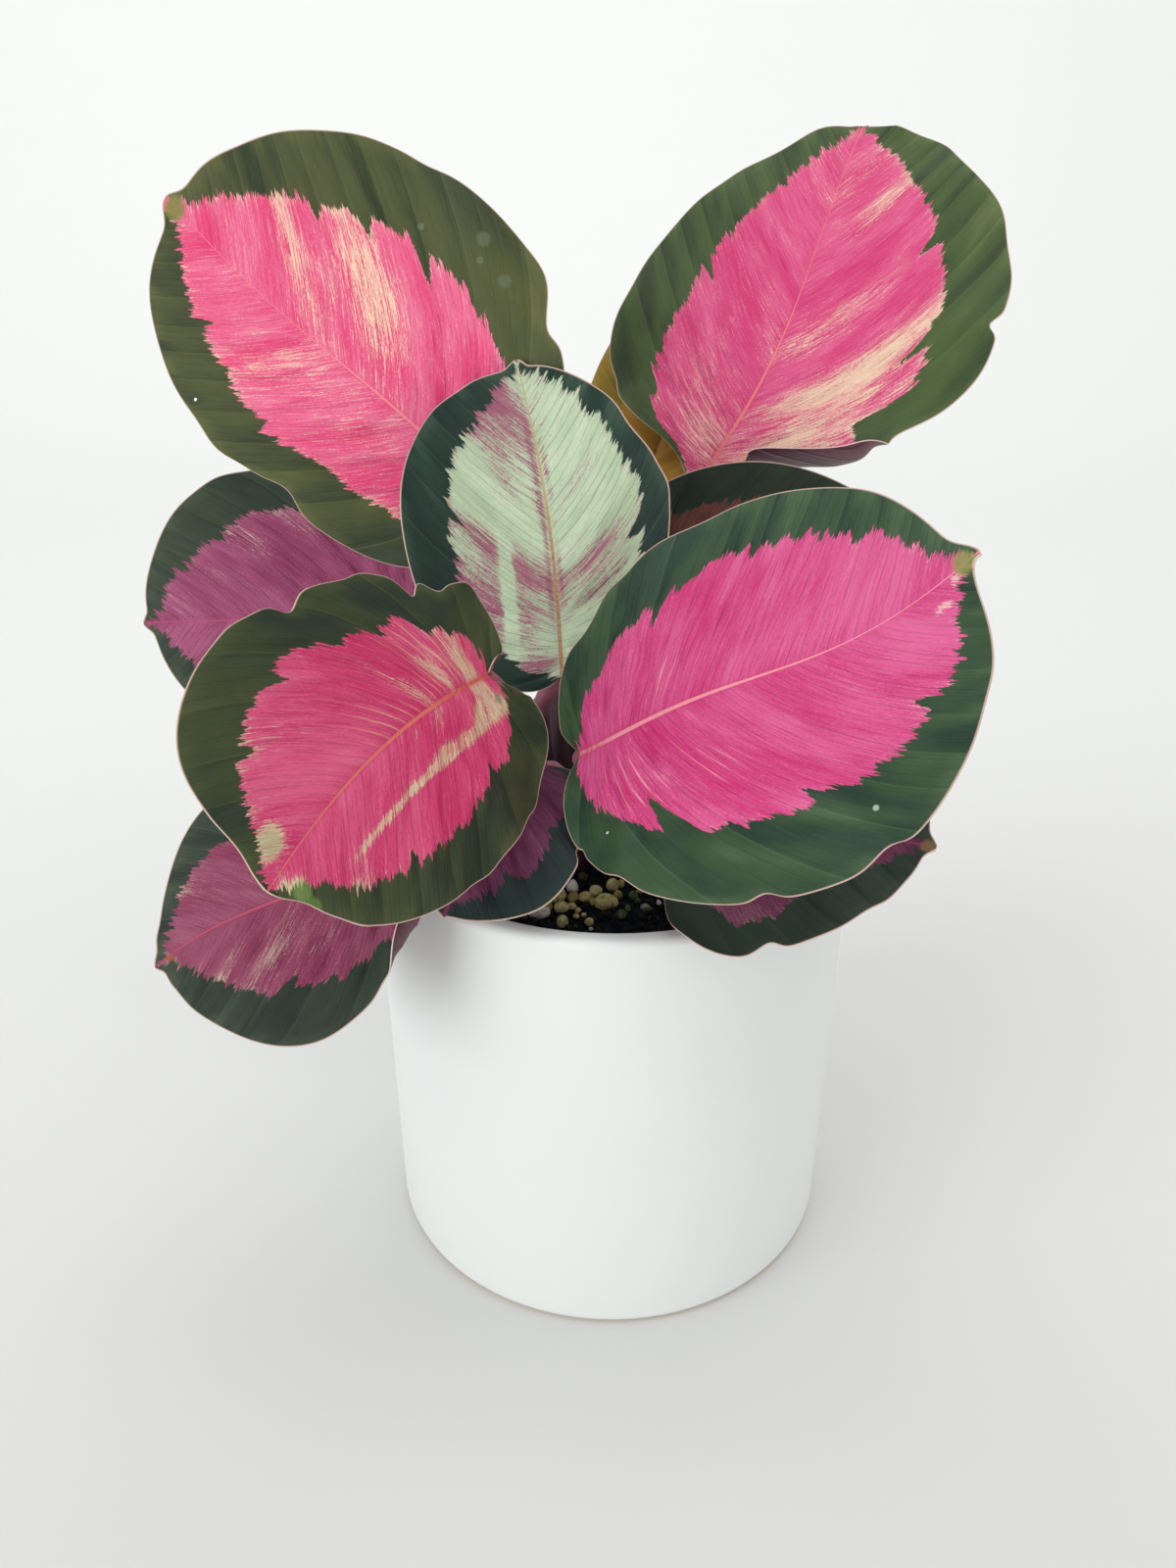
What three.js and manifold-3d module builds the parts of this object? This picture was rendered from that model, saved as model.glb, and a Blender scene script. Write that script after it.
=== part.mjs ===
// A potted calathea: eleven broad leaf blades on stalks that stand in a filled white pot.
// Millimetres and degrees, +Z up. The origin is the centre of the pot's underside, and -Y is the front.

import * as THREE from 'three';
import { mergeVertices } from 'three/addons/utils/BufferGeometryUtils.js';
import Module from 'manifold-3d';

const wasm = await Module();
wasm.setup();

// Driving dimensions.
const pot = {
  height: 133,
  rimRadius: 70,
  baseRadius: 68.8,
  wall: 6.4,
  floor: 6,
  floorRound: 6,
  footInset: 2,
  footHeight: 1.2,
  footRound: 1,
  rimDepth: 12,
  rimSteps: 6,
  segments: 48,
};
const soil = {
  top: 121,
  crown: [-6, 3],
  crownRise: 3,
  crownRadius: 26,
  relief: 0.7,
  facetAllowance: 0.15,
  bottomInset: 7,
  rings: 7,
  segments: 36,
};
const stalk = {
  rootDepth: 16,
  baseRadius: 2.6,
  radius: 1.7,
  taperShare: 0.6,
  pulvinusRadius: 1.9,
  pulvinusLength: 10,
  drop: 3.8,
  sides: 8,
  steps: 12,
};
const blade = {
  thickness: 0.7,
  ribHeight: 1.5,
  ribWidth: 1.7,
  ribTaper: 0.8,
  ribStart: 0.4,
  tipWidth: 1,
  bendPower: 1.15,
  waveReach: 2.2,
  lobePlace: 0.085,
  spikeLength: 0.035,
  spikeShare: 0.022,
  rows: [0.006, 0.02, 0.05, 0.09, 0.15, 0.2, 0.25, 0.31, 0.39, 0.48, 0.57, 0.66, 0.75, 0.84, 0.92, 0.97, 1],
  columns: [-1, -0.82, -0.56, -0.28, -0.04, 0, 0.04, 0.28, 0.56, 0.82, 1],
};
const granule = {
  count: 30,
  radius: 2.1,
  spread: 0.35,
  sink: 0.5,
  first: [-6, -32],
  firstScale: 1.5,
  reach: 0.82,
  apart: 0.8,
  rimGap: 2,
  stalkGap: 1,
  behind: -18,
  seed: 11,
};
const clearance = 0.3;

// Each blade's base, where its midrib leaves the stalk, and its foot, where the stalk enters the soil.
// heading is clockwise from +Y seen from above, pitch is upward, bend is the change of pitch to the tip,
// and roll turns the blade about its midrib, right side down. Left and right are seen from the base.
// veins are the powers by which the side veins start along the midrib and curve out to the margin.
// tip is the pointed tip's share of the length where it is shorter than on the other blades, and veer
// shifts the last bend of a stalk that comes in from one side. swells widen one half of a blade: hand, the
// place along it, half the stretch, and by how much. A furl rolls up the margin over such a stretch.
const leaves = {
  leaf_back_left: {
    base: [-33, 26, 218], foot: [-15, 13], rise: [45, 30], heading: -63, pitch: 40, bend: -9,
    roll: 67, twist: 4, length: 133, width: [49, 58], cup: [3, 7], fold: 0, arc: -0.02, sway: 0.01,
    lobe: 0.04, fullness: 0.93, taper: [0.06, 0.1], square: [0.14, -0.03], wave: 1.2, waves: 4,
    veins: [1.5, 1.25],
  },
  leaf_back_right: {
    base: [23, 44, 218], foot: [5, 17], rise: [45, 30], heading: 37, pitch: 51, bend: -10,
    roll: -22, twist: 14, length: 139, width: [45, 59], cup: [10, 11], fold: 7, arc: 0.05, sway: 0.01,
    lobe: -0.08, fullness: 0.92, taper: [0.33, 0.02], square: [-0.06, -0.08], wave: 1.2, waves: 4,
    veins: [1, 0.9], tip: 0.01,
    swells: [[1, 0.1, 0.05, 7], [1, 0.19, 0.065, 18], [1, 0.3, 0.04, -4]],
    furl: { hand: 1, place: 0.15, half: 0.1, width: 19, angle: 120 },
  },
  leaf_rear: {
    base: [8, 56, 211], foot: [-5, 22], rise: [45, 28], heading: 23, pitch: 55, bend: -15,
    roll: -5, twist: 1, length: 90, width: [27, 32], cup: [9, 10], fold: 6, arc: 0.04, sway: -0.01,
    lobe: 0.07, fullness: 0.9, taper: [0.16, 0.1], square: [0.03, 0], wave: 0.8, waves: 3,
    veins: [1.5, 1.25],
  },
  leaf_centre: {
    base: [-14, -14, 182], foot: [-18, 4], rise: [30, 20], heading: -15, pitch: 63, bend: -13,
    roll: 13, twist: 5, length: 88, width: [41, 33], cup: [30, 28], fold: 6, arc: 0.02, sway: 0,
    lobe: 0.05, fullness: 0.95, taper: [0.09, 0.2], square: [0.02, -0.04], wave: 0.8, waves: 3,
    veins: [1.5, 1.25], veer: [-16, 16, 4],
  },
  leaf_mid_right: {
    base: [3, -1, 188], foot: [9, 8], rise: [30, 16], heading: 83, pitch: 15, bend: -16,
    roll: -66, twist: 1, length: 83, width: [41, 30], cup: [10, 10], fold: 6, arc: 0.02, sway: 0,
    lobe: 0.07, fullness: 0.91, taper: [0.18, 0.1], square: [0.01, 0], wave: 0.8, waves: 3,
    veins: [1.5, 1.25],
  },
  leaf_front_right: {
    base: [-9, -41, 171], foot: [2, -14], rise: [36, 6], heading: 113, pitch: 22, bend: 26,
    roll: -56, twist: -2, length: 106, width: [44, 53], cup: [8, 7], fold: 6, arc: -0.04, sway: -0.02,
    lobe: 0.06, fullness: 0.89, taper: [-0.02, 0.04], square: [0.09, -0.04], wave: 1.2, waves: 4,
    veins: [1.5, 1.25],
  },
  leaf_front_left: {
    base: [-32, -37, 191], foot: [-20, -8], rise: [44, 8], heading: -152, pitch: 1, bend: -28,
    roll: 59, twist: -2, length: 84, width: [39, 42], cup: [6, 6], fold: 1, arc: 0.01, sway: 0,
    lobe: 0.16, fullness: 0.75, taper: [0.06, -0.21], square: [0.04, 0.08], wave: 1.2, waves: 4,
    veins: [1.5, 1.25],
  },
  leaf_mid_left: {
    base: [-58, 41, 184], foot: [-24, 16], rise: [32, 20], heading: -72, pitch: -2, bend: -14,
    roll: 76, twist: 4, length: 103, width: [43, 43], cup: [12, 13], fold: 5, arc: -0.04, sway: 0,
    lobe: 0.07, fullness: 0.97, taper: [0.13, 0.09], square: [-0.03, -0.1], wave: 1, waves: 3,
    veins: [1.5, 1.25],
  },
  leaf_low_left: {
    base: [-54, -42, 144], foot: [-26, 1], rise: [22, 10], heading: -98, pitch: -8, bend: -32,
    roll: 35, twist: -4, length: 74, width: [40, 35], cup: [6, 5], fold: 0, arc: -0.04, sway: -0.01,
    lobe: 0.06, fullness: 0.91, taper: [0.12, 0.15], square: [-0.07, -0.13], wave: 0.8, waves: 3,
    veins: [1.5, 1.25], swells: [[0, 0.115, 0.055, 12], [0, 0.2, 0.055, 8]],
    furl: { hand: 0, place: 0.15, half: 0.09, width: 14, angle: 155 },
  },
  leaf_low_front: {
    base: [-18, -28, 162], foot: [-10, -13], rise: [26, 8], heading: -148, pitch: -9, bend: -37,
    roll: 24, twist: 2, length: 52, width: [27, 18], cup: [14, 14], fold: 6, arc: 0.02, sway: 0.01,
    lobe: 0.07, fullness: 0.88, taper: [-0.02, 0.1], square: [0.04, 0], wave: 0.6, waves: 3,
    veins: [1.5, 1.25], tip: 0.01,
  },
  leaf_low_right: {
    base: [17, -32, 146], foot: [9, -7], rise: [8, 8], heading: 114, pitch: 15, bend: -16,
    roll: -30, twist: 1, length: 66, width: [31, 40], cup: [10, 11], fold: 5, arc: 0.03, sway: 0.01,
    lobe: 0.03, fullness: 0.9, taper: [0.1, 0.16], square: [0, -0.03], wave: 0.8, waves: 3,
    veins: [1.5, 1.25],
  },
};

const colours = {
  glaze: new THREE.MeshStandardMaterial({ color: 0xf1f3f3, roughness: 0.6, metalness: 0 }),
  soil: new THREE.MeshStandardMaterial({ color: 0x231c18, roughness: 0.95, metalness: 0 }),
  granules: new THREE.MeshStandardMaterial({ color: 0x968f58, roughness: 0.8, metalness: 0 }),
  stalk: new THREE.MeshStandardMaterial({ color: 0x4a2a30, roughness: 0.55, metalness: 0 }),
  leafPink: new THREE.MeshStandardMaterial({ color: 0xc94f80, roughness: 0.5, metalness: 0 }),
  leafMint: new THREE.MeshStandardMaterial({ color: 0xb4c8a8, roughness: 0.5, metalness: 0 }),
  leafDark: new THREE.MeshStandardMaterial({ color: 0x2c4034, roughness: 0.5, metalness: 0 }),
};

const radians = (degrees) => (degrees * Math.PI) / 180;
const clamp = (value, low, high) => Math.min(high, Math.max(low, value));

function seededRandom(seed) {
  let state = seed;
  return () => {
    state = (state * 1664525 + 1013904223) % 4294967296;
    return state / 4294967296;
  };
}

// A closed mesh between merged vertices, as a solid that can be joined or cut.
function solidOf(geometry) {
  const plain = geometry.clone();
  plain.deleteAttribute('normal');
  plain.deleteAttribute('uv');
  const merged = mergeVertices(plain, 1e-4);
  const vertProperties = new Float32Array(merged.attributes.position.array);
  const triVerts = new Uint32Array(merged.index.array);
  return new wasm.Manifold(new wasm.Mesh({ numProp: 3, vertProperties, triVerts }));
}

function geometryOf(solid) {
  const mesh = solid.getMesh();
  const geometry = new THREE.BufferGeometry();
  geometry.setAttribute('position', new THREE.BufferAttribute(mesh.vertProperties, 3));
  geometry.setIndex(new THREE.BufferAttribute(mesh.triVerts, 1));
  geometry.computeVertexNormals();
  return geometry;
}

// A closed shell from two grids of points that lie one above the other.
function shellGeometry(upper, lower) {
  const rows = upper.length;
  const columns = upper[0].length;
  const points = [...upper.flat(), ...lower.flat()];
  const top = (row, column) => row * columns + column;
  const bottom = (row, column) => rows * columns + row * columns + column;
  const index = [];
  const quad = (a, b, c, d) => index.push(a, b, c, a, c, d);
  for (let row = 0; row < rows - 1; row += 1) {
    for (let column = 0; column < columns - 1; column += 1) {
      index.push(top(row, column), top(row, column + 1), top(row + 1, column));
      index.push(top(row, column + 1), top(row + 1, column + 1), top(row + 1, column));
      index.push(bottom(row, column), bottom(row + 1, column), bottom(row, column + 1));
      index.push(bottom(row, column + 1), bottom(row + 1, column), bottom(row + 1, column + 1));
    }
    quad(top(row, 0), top(row + 1, 0), bottom(row + 1, 0), bottom(row, 0));
    const last = columns - 1;
    quad(top(row + 1, last), top(row, last), bottom(row, last), bottom(row + 1, last));
  }
  for (let column = 0; column < columns - 1; column += 1) {
    quad(top(0, column + 1), top(0, column), bottom(0, column), bottom(0, column + 1));
    const end = rows - 1;
    quad(top(end, column), top(end, column + 1), bottom(end, column + 1), bottom(end, column));
  }
  const geometry = new THREE.BufferGeometry();
  geometry.setAttribute('position', new THREE.Float32BufferAttribute(points.flatMap((p) => p.toArray()), 3));
  geometry.setIndex(index);
  geometry.computeVertexNormals();
  return geometry;
}

// The midrib's point and its forward, side and up directions at a distance along it.
function midribFrame(leaf, along) {
  const stepLength = leaf.length / 60;
  const point = new THREE.Vector3(...leaf.base);
  const direction = (distance) => {
    const pitch = radians(leaf.pitch + leaf.bend * (distance / leaf.length) ** blade.bendPower);
    const heading = radians(leaf.heading);
    return new THREE.Vector3(
      Math.cos(pitch) * Math.sin(heading),
      Math.cos(pitch) * Math.cos(heading),
      Math.sin(pitch),
    );
  };
  const reach = Math.max(0, along);
  for (let distance = 0; distance < reach; distance += stepLength) {
    const step = Math.min(stepLength, reach - distance);
    point.addScaledVector(direction(distance + step / 2), step);
  }
  const forward = direction(reach);
  point.addScaledVector(forward, Math.min(0, along));
  const level = new THREE.Vector3(Math.cos(radians(leaf.heading)), -Math.sin(radians(leaf.heading)), 0);
  const upright = new THREE.Vector3().crossVectors(level, forward);
  const roll = radians(leaf.roll + (leaf.twist * reach) / leaf.length);
  const side = level.clone().multiplyScalar(Math.cos(roll)).addScaledVector(upright, Math.sin(roll));
  const up = upright.clone().multiplyScalar(Math.cos(roll)).addScaledVector(level, -Math.sin(roll));
  return { point, forward, side, up };
}

// Where the vein that starts at the share s of the midrib meets the margin, as distances along and across.
function marginPoint(leaf, s, hand) {
  const turn = Math.PI * s;
  const lobeShare = s / blade.lobePlace;
  const tip = leaf.tip ?? blade.spikeLength;
  const spike = leaf.length * tip * Math.exp(-(((1 - s) / blade.spikeShare) ** 2));
  const shape = 1 + leaf.taper[hand] * Math.cos(turn) + leaf.square[hand] * Math.cos(2 * turn);
  const lobe = leaf.lobe * leaf.length * lobeShare * Math.exp(1 - lobeShare);
  const across = leaf.width[hand] * Math.sin(turn) ** leaf.fullness * shape;
  const swells = (leaf.swells ?? []).filter(([side]) => side === hand);
  const swollen = swells.map(([, place, half, size]) => size * Math.exp(-(((s - place) / half) ** 2)));
  return {
    along: (leaf.length * (1 - Math.cos(turn))) / 2 - lobe + spike,
    across: Math.max(blade.tipWidth / 2, swollen.reduce((sum, size) => sum + size, across)),
    veinStart: leaf.length * s ** leaf.veins[0] + spike,
  };
}

// How much more sharply a furled margin bends than the rest of the blade.
function furlCurvature(leaf, s, hand) {
  if (!leaf.furl || leaf.furl.hand !== hand) return 0;
  const { place, half, width, angle } = leaf.furl;
  return (radians(angle) / width) * Math.exp(-(((s - place) / half) ** 4));
}

// A point of the upper face and the matching one of the lower face. s runs from the base to the tip and
// t from the left margin at -1, over the midrib, to the right margin at 1.
function bladePoints(leaf, s, t) {
  const hand = t < 0 ? 0 : 1;
  const sign = t < 0 ? -1 : 1;
  const share = Math.abs(t);
  const margin = marginPoint(leaf, s, hand);
  const along = margin.veinStart + (margin.along - margin.veinStart) * share ** leaf.veins[1];
  const across = margin.across * share;
  const frame = midribFrame(leaf, along);
  const curvature = radians(leaf.cup[hand]) / leaf.width[hand];
  const lift = radians(leaf.fold);
  const tight = curvature + furlCurvature(leaf, s, hand);
  const plain = Math.min(across, Math.max(0, margin.across - (leaf.furl?.width ?? 0)));
  const bend = lift + curvature * plain;
  const slope = bend + tight * (across - plain);
  const reach = clamp(along / leaf.length, 0, 1);
  const offset = leaf.arc * Math.sin(Math.PI * reach) + leaf.sway * Math.sin(2 * Math.PI * reach);
  const spread = (Math.sin(bend) - Math.sin(lift)) / curvature + (Math.sin(slope) - Math.sin(bend)) / tight;
  const sideways = sign * spread + offset * leaf.length;
  const ripple = Math.sin(2 * Math.PI * leaf.waves * s + 2 * sign) * Math.sqrt(Math.sin(Math.PI * s));
  const wave = leaf.wave * share ** blade.waveReach * ripple;
  const curled = (Math.cos(lift) - Math.cos(bend)) / curvature + (Math.cos(bend) - Math.cos(slope)) / tight;
  const upper = frame.point.clone().addScaledVector(frame.side, sideways);
  upper.addScaledVector(frame.up, curled + wave);
  const normal = frame.up.clone().multiplyScalar(Math.cos(slope));
  normal.addScaledVector(frame.side, -sign * Math.sin(slope));
  const ribFade = Math.exp(-((Math.min(0, along) / blade.ribStart) ** 2));
  const ribHeight = blade.ribHeight * (1 - blade.ribTaper * s) * ribFade;
  const rib = ribHeight * Math.exp(-((across / blade.ribWidth) ** 2));
  const lower = upper.clone().addScaledVector(normal, -(blade.thickness + rib));
  return { upper, lower };
}

function bladeGeometry(leaf) {
  const grid = blade.rows.map((s) => blade.columns.map((t) => bladePoints(leaf, s, t)));
  const upper = grid.map((row) => row.map((pair) => pair.upper));
  const lower = grid.map((row) => row.map((pair) => pair.lower));
  return shellGeometry(upper, lower);
}

// The stalk's centre line: straight up out of the soil, then over into the line of the midrib.
function stalkCurve(leaf) {
  const { point, forward, up } = midribFrame(leaf, 0);
  const end = point.clone().addScaledVector(forward, -clearance).addScaledVector(up, -stalk.drop);
  const start = new THREE.Vector3(leaf.foot[0], leaf.foot[1], soil.top - stalk.rootDepth);
  const upward = start.clone().add(new THREE.Vector3(0, 0, stalk.rootDepth + leaf.rise[0]));
  const approach = end.clone().addScaledVector(forward, -leaf.rise[1]);
  if (leaf.veer) approach.add(new THREE.Vector3(...leaf.veer));
  return new THREE.CubicBezierCurve3(start, upward, approach, end);
}

function stalkRadius(curveLength, distance) {
  const taperLength = stalk.taperShare * curveLength;
  const taper = THREE.MathUtils.lerp(stalk.baseRadius, stalk.radius, Math.min(1, distance / taperLength));
  const swell = THREE.MathUtils.smoothstep(distance, curveLength - stalk.pulvinusLength, curveLength);
  return THREE.MathUtils.lerp(taper, stalk.pulvinusRadius, swell);
}

// A round tube of changing radius along a curve, closed at both ends.
function tubeGeometry(curve, radiusAt, steps, sides) {
  const frames = curve.computeFrenetFrames(steps, false);
  const length = curve.getLength();
  const points = [];
  for (let step = 0; step <= steps; step += 1) {
    const centre = curve.getPointAt(step / steps);
    const radius = radiusAt((length * step) / steps);
    for (let side = 0; side < sides; side += 1) {
      const angle = (2 * Math.PI * side) / sides;
      const point = centre.clone().addScaledVector(frames.normals[step], radius * Math.cos(angle));
      points.push(point.addScaledVector(frames.binormals[step], radius * Math.sin(angle)));
    }
  }
  const index = [];
  for (let step = 0; step < steps; step += 1) {
    for (let side = 0; side < sides; side += 1) {
      const next = (side + 1) % sides;
      const [a, b] = [step * sides + side, step * sides + next];
      const [c, d] = [a + sides, b + sides];
      index.push(a, b, c, b, d, c);
    }
  }
  for (let side = 1; side < sides - 1; side += 1) {
    index.push(0, side + 1, side);
    index.push(steps * sides, steps * sides + side, steps * sides + side + 1);
  }
  const geometry = new THREE.BufferGeometry();
  geometry.setAttribute('position', new THREE.Float32BufferAttribute(points.flatMap((p) => p.toArray()), 3));
  geometry.setIndex(index);
  geometry.computeVertexNormals();
  return geometry;
}

function stalkGeometry(leaf, grow = 0) {
  const curve = stalkCurve(leaf);
  const length = curve.getLength();
  return tubeGeometry(curve, (distance) => stalkRadius(length, distance) + grow, stalk.steps, stalk.sides);
}

function potGeometry() {
  const { height, rimRadius, baseRadius, wall, floor, floorRound, footInset, footHeight, footRound } = pot;
  const footRadius = baseRadius - footInset;
  const innerBase = baseRadius - wall;
  const innerRim = rimRadius - wall;
  const rimRound = wall / 2;
  const profile = [[0, 0], [footRadius, 0], [footRadius, footHeight], [baseRadius - footRound, footHeight]];
  profile.push([baseRadius, footHeight + footRound]);
  for (let step = 0; step <= pot.rimSteps; step += 1) {
    const angle = (Math.PI * step) / pot.rimSteps;
    const radius = rimRadius - rimRound + rimRound * Math.cos(angle);
    profile.push([radius, height - rimRound + rimRound * Math.sin(angle)]);
  }
  profile.push([innerRim, height - pot.rimDepth], [innerBase, floor + floorRound]);
  profile.push([innerBase - floorRound, floor], [0, floor]);
  const outline = profile.map(([radius, z]) => new THREE.Vector2(radius, z));
  const geometry = new THREE.LatheGeometry(outline, pot.segments);
  geometry.rotateX(Math.PI / 2);
  return geometry;
}

// The soil's level: nearly flat, a little higher round the crown, with a slow uneven relief.
function soilLevel(x, y) {
  const crown = Math.exp(-((x - soil.crown[0]) ** 2 + (y - soil.crown[1]) ** 2) / soil.crownRadius ** 2);
  const relief = Math.sin(x * 0.21 + 1) * Math.cos(y * 0.17) + 0.6 * Math.sin(x * 0.4 - y * 0.33);
  return soil.top + soil.crownRise * crown + soil.relief * relief;
}

function soilGeometry() {
  const topRadius = pot.rimRadius - pot.wall - clearance - soil.facetAllowance;
  const bottomRadius = pot.baseRadius - pot.wall - clearance - soil.bottomInset;
  const bottom = pot.floor + clearance;
  const outline = [new THREE.Vector2(0, bottom), new THREE.Vector2(bottomRadius, bottom)];
  for (let ring = soil.rings; ring >= 0; ring -= 1) {
    outline.push(new THREE.Vector2((topRadius * ring) / soil.rings, soil.top));
  }
  const geometry = new THREE.LatheGeometry(outline, soil.segments);
  geometry.rotateX(Math.PI / 2);
  const points = geometry.attributes.position;
  for (let i = 0; i < points.count; i += 1) {
    if (points.getZ(i) > bottom + clearance) points.setZ(i, soilLevel(points.getX(i), points.getY(i)));
  }
  return geometry;
}

// Round granules that lie on the soil in front of the crown, each against one laid before it.
function granulePlaces() {
  const random = seededRandom(granule.seed);
  const [firstX, firstY] = granule.first;
  const places = [{ x: firstX, y: firstY, radius: granule.radius * granule.firstScale }];
  const feet = Object.values(leaves).map((leaf) => leaf.foot);
  while (places.length < granule.count) {
    const near = places[Math.floor(random() * places.length)];
    const angle = 2 * Math.PI * random();
    const radius = granule.radius * (1 + granule.spread * (random() - 0.5));
    const gap = granule.reach * (near.radius + radius);
    const x = near.x + gap * Math.cos(angle);
    const y = near.y + gap * Math.sin(angle);
    const inPot = Math.hypot(x, y) < pot.rimRadius - pot.wall - radius - granule.rimGap;
    const footGap = stalk.baseRadius + radius + granule.stalkGap;
    const clearOfFeet = feet.every(([fx, fy]) => Math.hypot(x - fx, y - fy) > footGap);
    const farFrom = (p) => Math.hypot(x - p.x, y - p.y) > granule.apart * (p.radius + radius);
    const apart = places.every((p) => p === near || farFrom(p));
    if (inPot && clearOfFeet && apart && y < granule.behind) places.push({ x, y, radius });
  }
  return places;
}

function granuleSolid(grow) {
  return granulePlaces()
    .map(({ x, y, radius }) => {
      const bead = new THREE.IcosahedronGeometry(radius + grow, 0);
      bead.rotateZ(x + y);
      bead.translate(x, y, soilLevel(x, y) + radius * granule.sink);
      return solidOf(bead);
    })
    .reduce((whole, bead) => whole.add(bead));
}

function named(name, geometry, material) {
  const mesh = new THREE.Mesh(geometry, material);
  mesh.name = name;
  return mesh;
}

const bladeColours = {
  leaf_centre: colours.leafMint,
  leaf_rear: colours.leafDark,
  leaf_mid_right: colours.leafDark,
};

const plant = new THREE.Group();
plant.add(named('pot', potGeometry(), colours.glaze));

let soilSolid = solidOf(soilGeometry());
for (const leaf of Object.values(leaves)) {
  soilSolid = soilSolid.subtract(solidOf(stalkGeometry(leaf, clearance)));
}
soilSolid = soilSolid.subtract(granuleSolid(clearance));
plant.add(named('soil', geometryOf(soilSolid), colours.soil));
plant.add(named('granules', geometryOf(granuleSolid(0)), colours.granules));

for (const [name, leaf] of Object.entries(leaves)) {
  plant.add(named(name, bladeGeometry(leaf), bladeColours[name] ?? colours.leafPink));
  plant.add(named(name.replace('leaf', 'stalk'), stalkGeometry(leaf), colours.stalk));
}

export default plant;
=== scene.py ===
import math

import bmesh
import bpy
import numpy as np
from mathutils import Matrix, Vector


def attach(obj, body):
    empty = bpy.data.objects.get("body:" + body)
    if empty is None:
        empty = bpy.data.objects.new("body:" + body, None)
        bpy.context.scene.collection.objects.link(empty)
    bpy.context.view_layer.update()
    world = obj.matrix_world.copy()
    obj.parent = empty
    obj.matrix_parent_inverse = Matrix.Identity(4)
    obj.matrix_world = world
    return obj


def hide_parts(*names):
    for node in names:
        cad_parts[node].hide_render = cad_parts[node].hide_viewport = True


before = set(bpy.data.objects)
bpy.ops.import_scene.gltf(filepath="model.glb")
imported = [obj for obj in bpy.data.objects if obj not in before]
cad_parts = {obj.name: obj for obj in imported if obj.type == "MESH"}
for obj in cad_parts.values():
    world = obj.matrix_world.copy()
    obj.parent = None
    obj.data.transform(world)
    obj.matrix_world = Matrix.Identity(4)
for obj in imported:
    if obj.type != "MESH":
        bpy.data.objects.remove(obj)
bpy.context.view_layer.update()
mm = 0.001
bpy.context.scene.view_settings.view_transform = "Standard"

# helpers for every piece


def pick(obj):
    bpy.ops.object.select_all(action="DESELECT")
    obj.select_set(True)
    bpy.context.view_layer.objects.active = obj


def added(name):
    obj = bpy.context.object
    obj.name = name
    obj.data.name = name
    return obj


def applyAll(obj):
    pick(obj)
    for modifier in list(obj.modifiers):
        bpy.ops.object.modifier_apply(modifier=modifier.name)


def turnOutwards(obj):  # merges doubles and points every face outwards
    pick(obj)
    bpy.ops.object.mode_set(mode="EDIT")
    bpy.ops.mesh.select_all(action="SELECT")
    bpy.ops.mesh.remove_doubles(threshold=mm / 1000)
    bpy.ops.mesh.normals_make_consistent(inside=False)
    bpy.ops.object.mode_set(mode="OBJECT")


def settle(obj):  # the place goes into the mesh, and the object stays at the origin
    pick(obj)
    bpy.ops.object.transform_apply(location=True, rotation=True, scale=True)
    return obj


def smooth(obj, degrees=40):
    pick(obj)
    bpy.ops.object.shade_smooth_by_angle(angle=math.radians(degrees))


def hand(obj, slotName, *nodes):
    settle(obj)
    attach(obj, "root")
    if nodes:
        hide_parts(*nodes)


def points(mesh):
    flat = np.zeros(len(mesh.vertices) * 3)
    mesh.vertices.foreach_get("co", flat)
    return flat.reshape(-1, 3)


def movePoints(mesh, places):
    mesh.vertices.foreach_set("co", np.asarray(places, np.float32).ravel())
    mesh.update()


def writeField(mesh, name, values):
    field = mesh.attributes.new(name=name, type="FLOAT", domain="POINT")
    field.data.foreach_set("value", np.asarray(values, np.float32))


def meshPiece(name, verts, faces):
    mesh = bpy.data.meshes.new(name)
    mesh.from_pydata([tuple(v) for v in verts], [], [tuple(f) for f in faces])
    obj = bpy.data.objects.new(name, mesh)
    bpy.context.scene.collection.objects.link(obj)
    return obj


# helpers for finishes


def paint(red, green, blue):  # screen colour 0 to 255, as the shader wants it
    def linear(value):
        value /= 255
        return value / 12.92 if value <= 0.04045 else ((value + 0.055) / 1.055) ** 2.4
    return (linear(red), linear(green), linear(blue), 1.0)


class Wire:  # one socket of a finish, so that sums of patterns read as sums
    def __init__(self, finish, socket):
        self.finish = finish
        self.socket = socket

    def sum(self, operation, first, second=0.0):
        return self.finish.node("ShaderNodeMath", {"operation": operation}, {0: first, 1: second})

    def __add__(self, other):
        return self.sum("ADD", self, other)

    def __sub__(self, other):
        return self.sum("SUBTRACT", self, other)

    def __rsub__(self, other):
        return self.sum("SUBTRACT", other, self)

    def __mul__(self, other):
        return self.sum("MULTIPLY", self, other)

    def __truediv__(self, other):
        return self.sum("DIVIDE", self, other)

    def __rtruediv__(self, other):
        return self.sum("DIVIDE", other, self)

    __radd__ = __add__
    __rmul__ = __mul__

    def size(self):
        return self.sum("ABSOLUTE", self)

    def atLeast(self, other):
        return self.sum("MAXIMUM", self, other)

    def fraction(self):
        return self.sum("FRACT", self)

    def whole(self):
        return self.sum("FLOOR", self)

    def sign(self):
        return self.sum("SIGN", self)


def fromVein(steps, spacing):  # millimetres from the nearest vein, where steps is the place in spacings
    return (steps.fraction() - 0.5).size() * spacing


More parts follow.
